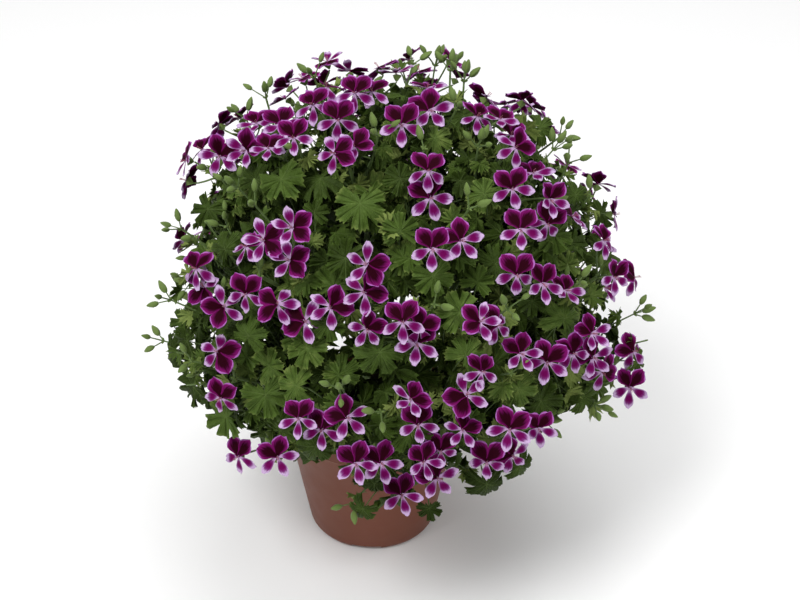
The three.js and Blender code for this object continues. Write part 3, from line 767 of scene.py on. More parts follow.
def outward_faces(obj):
    activate(obj)
    bpy.ops.object.mode_set(mode="EDIT")
    bpy.ops.mesh.select_all(action="SELECT")
    bpy.ops.mesh.normals_make_consistent(inside=False)
    bpy.ops.object.mode_set(mode="OBJECT")


def smooth(obj, degrees=60):
    activate(obj)
    bpy.ops.object.shade_smooth_by_angle(angle=math.radians(degrees))


def frame_matrix(side, ahead, normal, origin, scale):
    """Places a master piece: its X, Y and Z axes, its origin in millimetres, and its scale."""
    columns = Matrix((side, ahead, normal)).transposed().to_4x4()
    return Matrix.Translation(MM * origin) @ columns @ Matrix.Scale(scale, 4)


def set_tone(mesh, tone=PLAIN_TONE):
    """Gives every vertex the tone that the materials read."""
    if "tone" not in mesh.attributes:
        mesh.attributes.new("tone", "FLOAT", "POINT")
    values = np.full(len(mesh.vertices), tone, dtype=np.float32)
    mesh.attributes["tone"].data.foreach_set("value", values)


def copy_of(master, matrix, tone=PLAIN_TONE):
    """A copy of a master piece with its own mesh, placed, and with its own tone."""
    mesh = master.data.copy()
    mesh.transform(matrix)
    set_tone(mesh, tone)
    return link(bpy.data.objects.new("copy", mesh))


def join(pieces, name):
    """Joins the pieces into the first one, which has to lie at the origin."""
    select_none()
    for piece in pieces:
        piece.select_set(True)
    bpy.context.view_layer.objects.active = pieces[0]
    if len(pieces) > 1:
        bpy.ops.object.join()
    pieces[0].name = name
    pieces[0].data.name = name
    return pieces[0]


def stalks(name, lines, material, sides):
    """Round stalks along lines of points, in one piece. Each line is (points, radii)."""
    curve = bpy.data.curves.new(name, "CURVE")
    curve.dimensions = "3D"
    curve.bevel_depth = MM
    curve.bevel_resolution = (sides - 4) // 2
    curve.use_fill_caps = True
    for points, radii in lines:
        spline = curve.splines.new("POLY")
        spline.points.add(len(points) - 1)
        for point, place, radius in zip(spline.points, points, radii):
            point.co = (*(MM * place), 1)
            point.radius = radius
    curve.materials.append(material)
    obj = link(bpy.data.objects.new(name, curve))
    activate(obj)
    bpy.ops.object.convert(target="MESH")
    obj = bpy.context.object
    if "UVMap" not in obj.data.uv_layers:
        obj.data.uv_layers.new(name="UVMap")
    set_tone(obj.data)
    smooth(obj)
    return obj


def thickened(obj, thickness):
    """The same master piece with a thickness, smooth, and with a tone."""
    apply_modifier(
        obj, "Thickness", "SOLIDIFY", thickness=thickness, offset=0, use_even_offset=False
    )
    smooth(obj)
    set_tone(obj.data)
    return obj


def leaf_outline(count, cut, tooth):
    """Angle and radius round a leaf of wedge-shaped lobes: how deep it is cut, and its teeth."""
    outline = []
    for k in range(count):
        degrees = 360 * k / count
        from_tip = min(degrees, 360 - degrees)
        wedge = math.pi * from_tip / LOBE_TURN
        slit = abs(math.sin(wedge)) ** 16
        minor = abs(math.sin(3 * wedge)) ** 5
        radius = 1.12 - 0.05 * math.sin(wedge) ** 2 - cut * slit - 0.08 * minor * (1 - slit)
        radius += (tooth if k % 2 == 0 else -tooth) * (1 - slit)
        base = min(1, max(0, (180 - from_tip) / 40))
        outline.append((degrees, radius * (0.16 + 0.84 * base * base * (3 - 2 * base))))
    return outline


def make_blade(name, outline, form, phase, rings, material):
    """A thin leaf blade of half width 1 mm, tip along +Y, with waved and toothed lobes."""
    hang, wave, fold = form
    count = len(outline)
    select_none()
    bpy.ops.mesh.primitive_circle_add(vertices=count, radius=1, location=(0, 0, 0))
    blade = bpy.context.object
    bpy.ops.object.mode_set(mode="EDIT")
    bpy.ops.mesh.select_all(action="SELECT")
    for ring in range(rings):
        bpy.ops.mesh.extrude_edges_move()
        share = (rings - ring) / (rings - ring + 0.9)
        bpy.ops.transform.resize(value=(share, share, share), center_override=(0, 0, 0))
    bpy.ops.mesh.extrude_edges_move()
    bpy.ops.mesh.merge(type="CENTER")
    bpy.ops.object.mode_set(mode="OBJECT")
    mesh = blade.data
    for vertex in mesh.vertices:
        x, y, _ = vertex.co
        ring = math.hypot(x, y)
        if ring < 0.01:
            continue
        place = round(math.atan2(x, y) / (2 * math.pi) * count) % count
        degrees, radius = outline[place]
        angle = math.radians(degrees)
        if ring < 0.9:
            radius = ring * radius + 0.12 * (1 - ring)
        wedge = 2 * math.pi * degrees / LOBE_TURN
        crease = fold * (math.cos(wedge) + 0.4 * math.cos(3 * wedge))
        crisp = wave * (math.sin(3 * angle + phase) + 0.7 * math.sin(11 * angle + 2 * phase))
        crisp += EDGE_LIFT if place % 2 else -EDGE_LIFT
        height = hang * radius**2 + crisp * radius**2 - crease * min(1, 1.6 * radius)
        vertex.co = (radius * math.sin(angle), radius * math.cos(angle), height)
    uv = mesh.uv_layers["UVMap"] if "UVMap" in mesh.uv_layers else mesh.uv_layers.new(name="UVMap")
    for loop in mesh.loops:
        x, y, _ = mesh.vertices[loop.vertex_index].co
        uv.data[loop.index].uv = (0.5 + x / 3, 0.5 + y / 3)
    outward_faces(blade)
    if sum(polygon.normal.z for polygon in mesh.polygons) < 0:
        mesh.flip_normals()
    mesh.materials.append(material)
    mesh.transform(Matrix.Scale(MM, 4))
    blade.name = name
    return thickened(blade, BLADE_THICKNESS * MM / LEAF_HALF_WIDTH)


def make_blades(kind, material):
    """The master blades of one kind of leaf, one of each form."""
    points, cut, tooth, rings, _, forms = LEAF_KINDS[kind]
    outline = leaf_outline(points, cut, tooth)
    return [
        make_blade(f"{kind}_{k}", outline, form, 2 * k, rings, material)
        for k, form in enumerate(forms)
    ]


def crowded(share):
    """A share along a petal, with the rows of cells closer together towards its tip."""
    return 1 - (1 - share) ** PETAL_CROWDING


def make_petal(name, curl, phase, material, *, length, width, fullest, claw, tip, cup, ruffle):
    """A petal in millimetres that grows from the origin along +Y and faces +Z."""
    select_none()
    bpy.ops.mesh.primitive_grid_add(
        x_subdivisions=PETAL_CELLS, y_subdivisions=PETAL_CELLS, size=2, location=(0, 0, 0)
    )
    petal = bpy.context.object
    for vertex in petal.data.vertices:
        u, v = vertex.co.x, crowded((vertex.co.y + 1) / 2)
        rising = min(1, v / fullest)
        wide = claw + (1 - claw) * rising * rising * (3 - 2 * rising)
        ending = max(0, v - fullest) / (1 - fullest)
        wide *= math.sqrt(1 - ending * ending * (1 - tip * tip))
        x = 0.5 * width * wide * u
        y = length * (v - 0.13 * abs(u) ** 3 * v**4 + 0.02 * ruffle * math.sin(6 * u + 2 * phase) * v**4)
        z = curl * v * v + cup * u * u * wide + 0.7 * ruffle * math.sin(3.3 * u + phase) * v**3
        z += 0.35 * ruffle * math.sin(9 * u + 4 * v + phase) * v**2
        vertex.co = (MM * x, MM * y, MM * z)
    for loop in petal.data.loops:
        uv = petal.data.uv_layers[0].data[loop.index].uv
        uv[1] = crowded(uv[1])
    petal.data.uv_layers[0].name = "UVMap"
    petal.data.materials.append(material)
    petal.name = name
    return thickened(petal, PETAL_THICKNESS * MM)


def make_flower(number, form, looks):
    """A flower at the origin that faces +Z with its two broad petals towards +Y."""
    lower_tilt, upper_tilt, curl = form
    upper = make_petal("upper_petal", curl, number + 2, looks["upper"], **UPPER_PETAL)
    lower = make_petal("lower_petal", curl + LOWER_CURL, number + 1, looks["lower"], **LOWER_PETAL)
    pieces = []
    for k, (turn, twist) in enumerate(zip(FORM_TURNS, FORM_TWISTS)):
        broad = abs(turn) < 90
        turn += FORM_TURN_CHANGE * (draw(number * 10 + k, 31) - 0.5)
        tilt = upper_tilt if broad else lower_tilt
        tilt += FORM_TILT_CHANGE * (draw(number * 10 + k, 32) - 0.5)
        place = Matrix.Rotation(math.radians(turn), 4, "Z")
        place = place @ Matrix.Rotation(math.radians(tilt), 4, "X")
        place = place @ Matrix.Rotation(math.radians(twist), 4, "Y")
        pieces.append(copy_of(upper if broad else lower, place))
    bpy.data.objects.remove(upper)
    bpy.data.objects.remove(lower)
    pieces.append(make_calyx(looks["bud"]))
    filaments = []
    for k in range(STAMENS):
        side = Vector((math.cos(STAMEN_TURN * k), math.sin(STAMEN_TURN * k), 0))
        foot = Vector((0, 0, -1)) + 0.3 * side
        bend = Vector((0, -1.2, 2.5)) + 0.5 * side
        end = Vector((0, -1.6 - draw(k, number + 5), 4.2 + 1.4 * draw(k, number))) + 0.9 * side
        filaments.append((bezier([foot, bend, end], 4), [0.22, 0.16, 0.14, 0.25]))
    pieces.append(stalks("stamens", filaments, looks["stamen"], 4))
    return join(pieces, f"flower_master_{number}")


def make_calyx(material):
    """Five pointed sepals round a narrow green cone behind the petals."""
    select_none()
    bpy.ops.mesh.primitive_cone_add(
        vertices=2 * SEPALS, radius1=1, radius2=0.4, depth=1, location=(0, 0, 0),
        end_fill_type="NGON",
    )
    calyx = bpy.context.object
    for vertex in calyx.data.vertices:
        x, y, z = vertex.co
        angle = math.atan2(y, x)
        corner = round(angle / math.pi * SEPALS)
        if z < 0:
            radius, height = SEPAL_TIP if corner % 2 else SEPAL_HOLLOW
        else:
            radius, height = CALYX_FOOT
        vertex.co = (MM * radius * math.cos(angle), MM * radius * math.sin(angle), MM * height)
    calyx.data.materials.append(material)
    outward_faces(calyx)
    smooth(calyx, 30)
    set_tone(calyx.data)
    return calyx


def make_bud(material):
    """A pointed bud of length 1 mm along +Z with its foot at the origin."""
    select_none()
    bpy.ops.mesh.primitive_uv_sphere_add(segments=8, ring_count=6, radius=0.5, location=(0, 0, 0))
    bud = bpy.context.object
    for vertex in bud.data.vertices:
        x, y, z = vertex.co
        share = z + 0.5
        pinch = 1 - BUD_TAPER * max(0, share - BUD_TAPER_START) ** 1.1
        ridge = 1 + BUD_RIDGE * math.cos(BUD_RIDGES * math.atan2(y, x))
        wide = BUD_WIDTH * pinch * ridge
        vertex.co = (MM * x * wide, MM * y * wide, MM * share)
    bud.data.materials.append(material)
    smooth(bud)
    bud.name = "bud master"
    set_tone(bud.data)
    return bud


# Materials


def shader(name, roughness, **sockets):
    """A new node material: its tree and its surface node, with plain values on the sockets."""
    material = bpy.data.materials.new(name)
    material.use_nodes = True
    tree = material.node_tree
    surface = tree.nodes["Principled BSDF"]
    surface.inputs["Roughness"].default_value = roughness
    for key, value in sockets.items():
        surface.inputs[key.replace("_", " ")].default_value = value
    return material, tree, surface


def node(tree, kind, *inputs, **values):
    """Adds a node. Each input is a plain value, a socket to link, or None to leave as it is."""
    new = tree.nodes.new(kind)
    for key, value in values.items():
        setattr(new, key, value)
    for socket, value in zip(new.inputs, inputs):
        if isinstance(value, bpy.types.NodeSocket):
            tree.links.new(value, socket)
        elif value is not None:
            socket.default_value = value
    return new


def maths(tree, operation, *inputs):
    return node(tree, "ShaderNodeMath", *inputs, operation=operation).outputs[0]


def between(tree, value, low, high):
    """0 below low, 1 above high, smooth in between."""
    return node(
        tree, "ShaderNodeMapRange", value, low, high, 0.0, 1.0, interpolation_type="SMOOTHSTEP"
    ).outputs[0]


def mixed(tree, share, first, second):
    mix = tree.nodes.new("ShaderNodeMix")
    mix.data_type = "RGBA"
    for socket, value in ((mix.inputs[0], share), (mix.inputs[6], first), (mix.inputs[7], second)):
        if isinstance(value, bpy.types.NodeSocket):
            tree.links.new(value, socket)
        elif isinstance(value, float):
            socket.default_value = value
        else:
            socket.default_value = (*value, 1)
    return mix.outputs[2]


def length_of(tree, x, y):
    """The length of a vector with these two parts."""
    squares = [maths(tree, "MULTIPLY", side, side) for side in (x, y)]
    return maths(tree, "SQRT", maths(tree, "ADD", *squares))


def mottle(tree, scale, detail=3.0):
    """Noise in the object's own coordinates."""
    place = tree.nodes.new("ShaderNodeTexCoord").outputs["Object"]
    return node(tree, "ShaderNodeTexNoise", place, None, scale, detail).outputs["Fac"]


def cover(tree, surface, colour, height, strength, distance):
    """Links the colour, and a bump from the height."""
    tree.links.new(colour, surface.inputs["Base Color"])
    new = tree.nodes.new("ShaderNodeBump")
    new.inputs["Strength"].default_value = strength
    new.inputs["Distance"].default_value = distance
    tree.links.new(height, new.inputs["Height"])
    tree.links.new(new.outputs[0], surface.inputs["Normal"])


def uv_parts(tree):
    uv = node(tree, "ShaderNodeUVMap", uv_map="UVMap").outputs[0]
    return node(tree, "ShaderNodeSeparateXYZ", uv).outputs


def tone_of(tree):
    return node(tree, "ShaderNodeAttribute", attribute_name="tone").outputs["Fac"]


def leaf_material(name, dark, light, fresh, vein):
    """Green blotched by its tone, with veins that branch from the stalk into each lobe, and paler edges
    that are partly the leaf's own colour and partly a painted highlight.
    """
    material, tree, surface = shader(name, 0.55, Specular_IOR_Level=0.1)
    u, v, _ = uv_parts(tree)
    x = maths(tree, "MULTIPLY_ADD", u, 3.0, -1.5)
    y = maths(tree, "MULTIPLY_ADD", v, 3.0, -1.5)
    angle = maths(tree, "ABSOLUTE", maths(tree, "ARCTAN2", x, y))
    reach = length_of(tree, x, y)
    from_vein = maths(tree, "PINGPONG", angle, math.radians(LOBE_TURN / 2))
    main = maths(tree, "MULTIPLY", from_vein, reach)
    side = maths(tree, "PINGPONG", maths(tree, "SUBTRACT", reach, main), 0.09)
    main_line = maths(tree, "SUBTRACT", 1.0, between(tree, main, 0.01, 0.045))
    side_line = maths(tree, "SUBTRACT", 1.0, between(tree, side, 0.008, 0.03))
    lines = maths(tree, "MAXIMUM", main_line, maths(tree, "MULTIPLY", side_line, 0.35))
    tone = tone_of(tree)
    blotch = maths(tree, "MULTIPLY_ADD", mottle(tree, 160.0), 0.8, -0.4)
    # Paler lobe edges: partly the leaf's own paler margin, partly a painted highlight on the crisped
    # edges
    rim = maths(tree, "MULTIPLY", between(tree, reach, 0.85, 1.15), 0.35)
    shade = maths(tree, "ADD", maths(tree, "ADD", tone, blotch), rim)
    base = mixed(tree, between(tree, shade, 0.0, 1.0), dark, light)
    base = mixed(tree, between(tree, shade, 0.75, 1.3), base, fresh)
    colour = mixed(tree, maths(tree, "MULTIPLY", lines, 0.25), base, vein)
    height = maths(tree, "SUBTRACT", mottle(tree, 900.0), lines)
    cover(tree, surface, colour, height, 0.6, 0.0006)
    return material


def stem_material(name, dark, paling):
    """Softly mottled, with a faint sheen like that of short hairs."""
    material, tree, surface = shader(
        name, 0.6, Sheen_Weight=0.08, Sheen_Roughness=0.4, Specular_IOR_Level=0.15
    )
    colour = mixed(tree, mottle(tree, 160.0), dark, tuple(paling * c for c in dark))
    cover(tree, surface, colour, mottle(tree, 1400.0), 0.4, 0.0003)
    return material


def petal_streaks(tree, u, v, count):
    """Fine ragged streaks that run along a petal, different from flower to flower."""
    place = node(
        tree, "ShaderNodeCombineXYZ", maths(tree, "MULTIPLY", u, count),
        maths(tree, "MULTIPLY", v, 1.6), maths(tree, "MULTIPLY", tone_of(tree), 9.0),
    ).outputs[0]
    return node(tree, "ShaderNodeTexNoise", place, None, 1.0, 2.0).outputs["Fac"]


def upper_petal_material(name, rim, band, heart):
    """A near-black heart that feathers into a magenta band, and a thin pale rim."""
    material, tree, surface = shader(name, 0.6, Specular_IOR_Level=0.02)
    u, v, _ = uv_parts(tree)
    side = maths(tree, "MULTIPLY_ADD", u, 1.9, -0.95)
    end = maths(tree, "MAXIMUM", maths(tree, "MULTIPLY_ADD", v, 1.43, -0.43), 0.0)
    out = length_of(tree, side, end)
    feather = petal_streaks(tree, u, v, 14.0)
    ragged = maths(tree, "ADD", out, maths(tree, "MULTIPLY_ADD", feather, 0.7, -0.35))
    colour = mixed(tree, between(tree, ragged, 0.5, 1.02), heart, band)
    slim = maths(tree, "ADD", out, maths(tree, "MULTIPLY_ADD", feather, 0.16, -0.08))
    colour = mixed(tree, between(tree, slim, 0.96, 1.06), colour, rim)
    cover(tree, surface, colour, feather, 0.35, 0.0005)
    return material


def lower_petal_material(name, pale, flush, blotch):
    """A pale petal with a magenta blotch in its middle and fine lines on its claw."""
    material, tree, surface = shader(name, 0.6, Specular_IOR_Level=0.02)
    u, v, _ = uv_parts(tree)
    side = maths(tree, "MULTIPLY_ADD", u, 2.0, -1.0)
    end = maths(tree, "MULTIPLY_ADD", v, 3.5, -1.85)
    away = length_of(tree, maths(tree, "MULTIPLY", side, side), end)
    feather = petal_streaks(tree, u, v, 10.0)
    away = maths(tree, "ADD", away, maths(tree, "MULTIPLY_ADD", feather, 0.7, -0.35))
    colour = mixed(tree, between(tree, away, 0.3, 0.75), blotch, flush)
    colour = mixed(tree, between(tree, away, 0.7, 1.25), colour, pale)
    line = maths(tree, "SUBTRACT", 1.0, between(tree, maths(tree, "PINGPONG", u, 0.1), 0.0, 0.05))
    claw = maths(tree, "SUBTRACT", 1.0, between(tree, v, 0.25, 0.45))
    lines = maths(tree, "MULTIPLY", maths(tree, "MULTIPLY", line, claw), 0.6)
    colour = mixed(tree, lines, colour, blotch)
    cover(tree, surface, colour, feather, 0.35, 0.0005)
    return material


def pot_material(name, plain, worn):
    """Moulded plastic: faint mottling, fine grain and thin scuffs."""
    material, tree, surface = shader(name, 0.48, Specular_IOR_Level=0.25)
    scuffs = between(tree, mottle(tree, 60.0, 6.0), 0.5, 0.8)
    colour = mixed(tree, maths(tree, "MULTIPLY", scuffs, 0.35), plain, worn)
    roughness = maths(tree, "MULTIPLY_ADD", mottle(tree, 90.0), 0.2, 0.4)
    tree.links.new(roughness, surface.inputs["Roughness"])
    cover(tree, surface, colour, mottle(tree, 1500.0), 0.15, 0.0002)
    return material


def soil_material(name, dark, light):
    """Moist mix with fibres and paler crumbs."""
    material, tree, surface = shader(name, 0.95)
    crumbs = between(tree, mottle(tree, 420.0, 6.0), 0.45, 0.75)
    colour = mixed(tree, crumbs, dark, light)
    cover(tree, surface, colour, mottle(tree, 700.0, 8.0), 0.9, 0.002)
    return material


def floor_material(name, colour):
    """A plain floor, very faintly mottled."""
    material, tree, surface = shader(name, 0.7)
    shade = maths(tree, "MULTIPLY", mottle(tree, 3.0), 0.03)
    tone = mixed(tree, shade, colour, tuple(0.9 * c for c in colour))
    tree.links.new(tone, surface.inputs["Base Color"])
    return material


# Settings


class PotSettings(bpy.types.PropertyGroup):
    """Sizes and colours of the nursery pot and its mix."""

    height: FloatProperty(name="Height", description="Foot to rim", default=0.112, unit="LENGTH")
    top_radius: FloatProperty(
        name="Top radius", description="Outside of the rim", default=0.070, unit="LENGTH"
    )
    base_radius: FloatProperty(
        name="Base radius", description="Outside of the base", default=0.051, unit="LENGTH"
    )
    wall: FloatProperty(
        name="Wall", description="Thickness of the wall", default=0.0018, unit="LENGTH"
    )
    sides: IntProperty(name="Sides", description="Facets round the pot", default=96)
    plastic: FloatVectorProperty(
        name="Plastic", description="Colour of the pot", subtype="COLOR", default=(0.158, 0.05, 0.028)
    )
    scuffed: FloatVectorProperty(
        name="Scuffed", description="Colour of its scuffs", subtype="COLOR", default=(0.173, 0.064, 0.038)
    )
    mix: FloatVectorProperty(
        name="Mix", description="Colour of the moist mix", subtype="COLOR", default=(0.022, 0.013, 0.009)
    )
    crumbs: FloatVectorProperty(
        name="Crumbs", description="Colour of its crumbs", subtype="COLOR", default=(0.11, 0.07, 0.045)
    )


class FoliageSettings(bpy.types.PropertyGroup):
    """Sizes and colours of the stems and leaves."""

    spine_radius: FloatProperty(
        name="Main stem", description="Radius at its foot", default=0.0028, unit="LENGTH"
    )
    branch_radius: FloatProperty(
        name="Branch", description="Radius of a side stem", default=0.0016, unit="LENGTH"
    )
    petiole_radius: FloatProperty(
        name="Leaf stalk", description="Radius of a leaf stalk", default=0.0007, unit="LENGTH"
    )
    # Deep green is the colour of old leaves, and also of the painted shade on leaves low down and deep
    # inside
    deep: FloatVectorProperty(
        name="Deep green", description="Old leaves", subtype="COLOR", default=(0.019, 0.034, 0.003)
    )
    prime: FloatVectorProperty(
        name="Mid green", description="Leaves in their prime", subtype="COLOR",
        default=(0.066, 0.112, 0.018),
    )
    young: FloatVectorProperty(
        name="Young green", description="Leaves at the tips", subtype="COLOR",
        default=(0.17, 0.22, 0.055),
    )
    vein: FloatVectorProperty(
        name="Vein", description="Veins of the leaves", subtype="COLOR", default=(0.14, 0.2, 0.06)
    )
    stem: FloatVectorProperty(
        name="Stem", description="Stems and leaf stalks", subtype="COLOR", default=(0.075, 0.115, 0.035)
    )


class FlowerSettings(bpy.types.PropertyGroup):
    """Colours of the flowers and buds."""

    rim: FloatVectorProperty(
        name="Rim", description="Edge of the upper petals", subtype="COLOR", default=(0.36, 0.12, 0.4)
    )
    band: FloatVectorProperty(
        name="Band", description="Band inside the rim", subtype="COLOR", default=(0.165, 0.006, 0.105)
    )
    heart: FloatVectorProperty(
        name="Heart", description="Middle of the upper petals", subtype="COLOR",
        default=(0.02, 0.0008, 0.005),
    )
    pale: FloatVectorProperty(
        name="Pale", description="Edge of the lower petals", subtype="COLOR", default=(0.51, 0.36, 0.57)
    )
    flush: FloatVectorProperty(
        name="Flush", description="Flush round the blotch", subtype="COLOR",
        default=(0.165, 0.022, 0.145),
    )
    blotch: FloatVectorProperty(
        name="Blotch", description="Blotch of the lower petals", subtype="COLOR",
        default=(0.12, 0.002, 0.066),
    )
    bud: FloatVectorProperty(
        name="Bud", description="Buds and sepals", subtype="COLOR", default=(0.1, 0.148, 0.038)
    )
    stamen: FloatVectorProperty(
        name="Stamen", description="Stamens and style", subtype="COLOR", default=(0.3, 0.1, 0.14)
    )


# Pot and mix


def turned_body(name, profile, sides):
    """A round body drawn up ring by ring with extrude and resize. Its ends close on the axis."""
    select_none()
    start, rest = profile[0], profile[1:]
    bpy.ops.mesh.primitive_circle_add(vertices=sides, radius=MM * start[0], location=(0, 0, 0))
    body = bpy.context.object
    bpy.ops.object.mode_set(mode="EDIT")
    bpy.ops.mesh.select_all(action="SELECT")
    bpy.ops.transform.translate(value=(0, 0, MM * start[1]))
    radius, height = start
    for r, z in rest:
        bpy.ops.mesh.extrude_edges_move(
            TRANSFORM_OT_translate={"value": (0, 0, MM * (z - height))}
        )
        share = r / radius
        bpy.ops.transform.resize(value=(share, share, 1), center_override=(0, 0, MM * z))
        radius, height = r, z
    bpy.ops.mesh.edge_face_add()
    bpy.ops.mesh.select_all(action="DESELECT")
    bpy.ops.object.mode_set(mode="OBJECT")
    for vertex in body.data.vertices:
        place = vertex.co
        near = abs(math.hypot(place.x, place.y) - MM * start[0]) < 1e-6
        vertex.select = near and abs(place.z - MM * start[1]) < 1e-6
    bpy.ops.object.mode_set(mode="EDIT")
    bpy.ops.mesh.edge_face_add()
    bpy.ops.object.mode_set(mode="OBJECT")
    outward_faces(body)
    body.name = name
    return body


def cut_away(body, cutter):
    apply_modifier(body, "Cut", "BOOLEAN", operation="DIFFERENCE", solver="EXACT", object=cutter)
    bpy.data.objects.remove(cutter)


def finish_piece(piece, slot, *nodes):
    """Sets what the piece rides on, and hides the solids it stands for. The colour slot is not used."""
    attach(piece, "root")
    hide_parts(*nodes)


class PELARGONIUM_OT_pot(bpy.types.Operator):
    """Model the nursery pot with its rim, rounded foot, notches and drainage holes"""

    bl_idname = "pelargonium.pot"
    bl_label = "Nursery pot"

    def execute(self, context):
        sizes = context.scene.pelargonium_pot
        height, top, base = sizes.height / MM, sizes.top_radius / MM, sizes.base_radius / MM
        wall = sizes.wall / MM
        rim_foot = height - RIM_HEIGHT
        inner_top, inner_base = top - RIM_STEP - wall, base - wall

        def inside(z):
            share = (z - WALL_FOOT) / (rim_foot - WALL_FOOT)
            return inner_base + (inner_top - inner_base) * share

        profile = [
            *POT_FOOT, (inside(30) + wall, 30), (inside(64) + wall, 64),
            (inside(rim_foot - 1) + wall, rim_foot - 1), (top - 1.4, rim_foot),
            (top - 0.9, rim_foot + 0.7), (top - 0.3, height - 1), (top - 0.5, height - 0.3),
            (top - 0.9, height), (top - wall, height), (top - wall - 0.4, height - 0.4),
            (inside(rim_foot), rim_foot), (inside(52), 52), (inside(6), 6),
            (inside(5) - 1.4, FLOOR_LEVEL + 0.1), (0.6, FLOOR_LEVEL),
        ]
        pot = turned_body("nursery_pot", profile, sizes.sides)
        for k in range(DRAIN_COUNT):
            angle = math.radians(360 * k / DRAIN_COUNT)
            middle = DRAIN_CIRCLE * MM * math.cos(angle), DRAIN_CIRCLE * MM * math.sin(angle), 0
            select_none()
            bpy.ops.mesh.primitive_cylinder_add(
                vertices=20, radius=DRAIN_RADIUS * MM, depth=20 * MM, location=middle
            )
            cut_away(pot, bpy.context.object)
        for k in range(NOTCH_COUNT):
            angle = math.radians(360 * k / NOTCH_COUNT + NOTCH_TURN)
            middle = Vector((NOTCH_MIDDLE * math.sin(angle), -NOTCH_MIDDLE * math.cos(angle), 0)) * MM
            select_none()
            bpy.ops.mesh.primitive_cube_add(
                size=1, location=middle, rotation=(0, 0, angle),
                scale=(NOTCH_WIDTH * MM, NOTCH_REACH * MM, 2 * NOTCH_HEIGHT * MM),
            )
            apply_modifier(
                bpy.context.object, "Round", "BEVEL", width=NOTCH_ROUNDING * MM, segments=3
            )
            cut_away(pot, bpy.context.object)
        material = pot_material("moulded plastic", sizes.plastic, sizes.scuffed)
        pot.data.materials.clear()
        pot.data.materials.append(material)
        smooth(pot, 32)
        finish_piece(pot, "pot", "pot")
        return {"FINISHED"}


class PELARGONIUM_OT_potting_mix(bpy.types.Operator):
    """Model the potting mix with its lumpy surface"""

    bl_idname = "pelargonium.potting_mix"
    bl_label = "Potting mix"

    def execute(self, context):
        sizes = context.scene.pelargonium_pot
        rings = [
            (r, SOIL_TOP + SOIL_MOUND * (1 - (r / SOIL_SPREAD) ** 2)) for r in range(60, 0, -4)
        ]
        profile = [
            (0.6, SOIL_FOOT[1]), SOIL_FOOT, (SOIL_RADIUS, SOIL_TOP - 2), (SOIL_RADIUS, SOIL_TOP),
            *rings, (0.6, SOIL_TOP + SOIL_MOUND),
        ]
        mix = turned_body("potting_mix_surface", profile, 72)
        for vertex in mix.data.vertices:
            place = vertex.co
            middle = math.hypot(place.x, place.y) < (SOIL_SPREAD - 2) * MM
            if middle and place.z > (SOIL_TOP - 1) * MM:
                lumps = noise.noise(place * 110) + 0.6 * noise.noise(place * 260)
                place.z += SOIL_LUMPS * MM * lumps
        material = soil_material("moist potting mix", sizes.mix, sizes.crumbs)
        mix.data.materials.clear()
        mix.data.materials.append(material)
        smooth(mix, 50)
        finish_piece(mix, "potting_mix", "potting_mix")
        return {"FINISHED"}


# Shoots and flower heads


def stalk_line(points, radius, end_radius):
    """A line of points with the radius of a stalk at each."""
    count = len(points)
    radii = [radius + (end_radius - radius) * k / (count - 1) for k in range(count)]
    return points, radii


def petiole_line(leaf, radius):
    """A leaf stalk that leaves its stem outwards and comes up under the blade."""
    heel = leaf.joint - 0.02 * leaf.size * leaf.normal
    span = (heel - leaf.root).length
    bend = heel - 0.4 * span * (0.75 * leaf.normal + 0.25 * leaf.tip)
    return stalk_line(bezier([leaf.root, bend, heel], 5), radius * 1.1, radius * 0.75)


def placed_bud(master, foot, lean, ahead, size, tone):
    """A bud that leans one way, with its ridges turned by another."""
    side = across(ahead, lean)
    return copy_of(master, frame_matrix(side, lean.cross(side), lean, foot, size), tone)


def grow_buds(bunch, lines, pieces, master):
    """The long stalk of a bunch, its buds, and the bracts where their stalks part."""
    middle, axis = bunch.middle, bunch.axis
    bend = middle - 0.35 * (middle - bunch.root).length * axis
    lines.append(stalk_line(bezier([bunch.root, bend, middle], 6), *BUNCH_STALK))
    for k in range(bunch.buds):
        lean = (axis + (0.9 if k < 3 else 0.1) * turned(bunch.ahead, axis, 120 * k + 60)).normalized()
        foot = middle + (BUD_NECK + BUD_NECK_CHANGE * (k % 3)) * lean
        lines.append(stalk_line([middle, middle.lerp(foot, 0.5), foot], *BUD_STALK))
        size = BUD_LENGTH * (1 - BUD_LENGTH_CHANGE * (k % 3))
        pieces.append(placed_bud(master, foot, lean, bunch.ahead, size, draw(k, 61 + bunch.buds)))
    for k in range(BRACTS if bunch.buds else 0):
        lean = (0.5 * axis + turned(bunch.ahead, axis, 360 * k / BRACTS)).normalized()
        pieces.append(placed_bud(master, middle, lean, axis, BRACT_LENGTH, BRACT_TONE))


def leaf_tone_and_painted_shade(leaf):
    """How pale a leaf is: by its kind and by chance, with painted shade low on the plant, painted light
    towards its top, and painted shade on inner leaves deep inside.
    """
    tone = LEAF_KINDS[leaf.kind][4] + TONE_CHANGE * (draw(leaf.index, 42) - 0.5)
    # Painted shade low on the plant and painted light high on it, by the height of the leaf's joint
    height = HEIGHT_PAINTED_SHADE * (leaf.joint.z / DOME_CENTRE.z - 1)
    tone += max(DARKEST_PAINTED_SHADE, min(PALEST_PAINTED_LIGHT, height))
    # Inner leaves of the deeper layers get a painted shade, as they lie deep inside the plant
    if leaf.index >= PAINTED_SHADE_FROM_INDEX and leaf.kind == "inner":
        tone -= DEEP_PAINTED_SHADE
    return tone


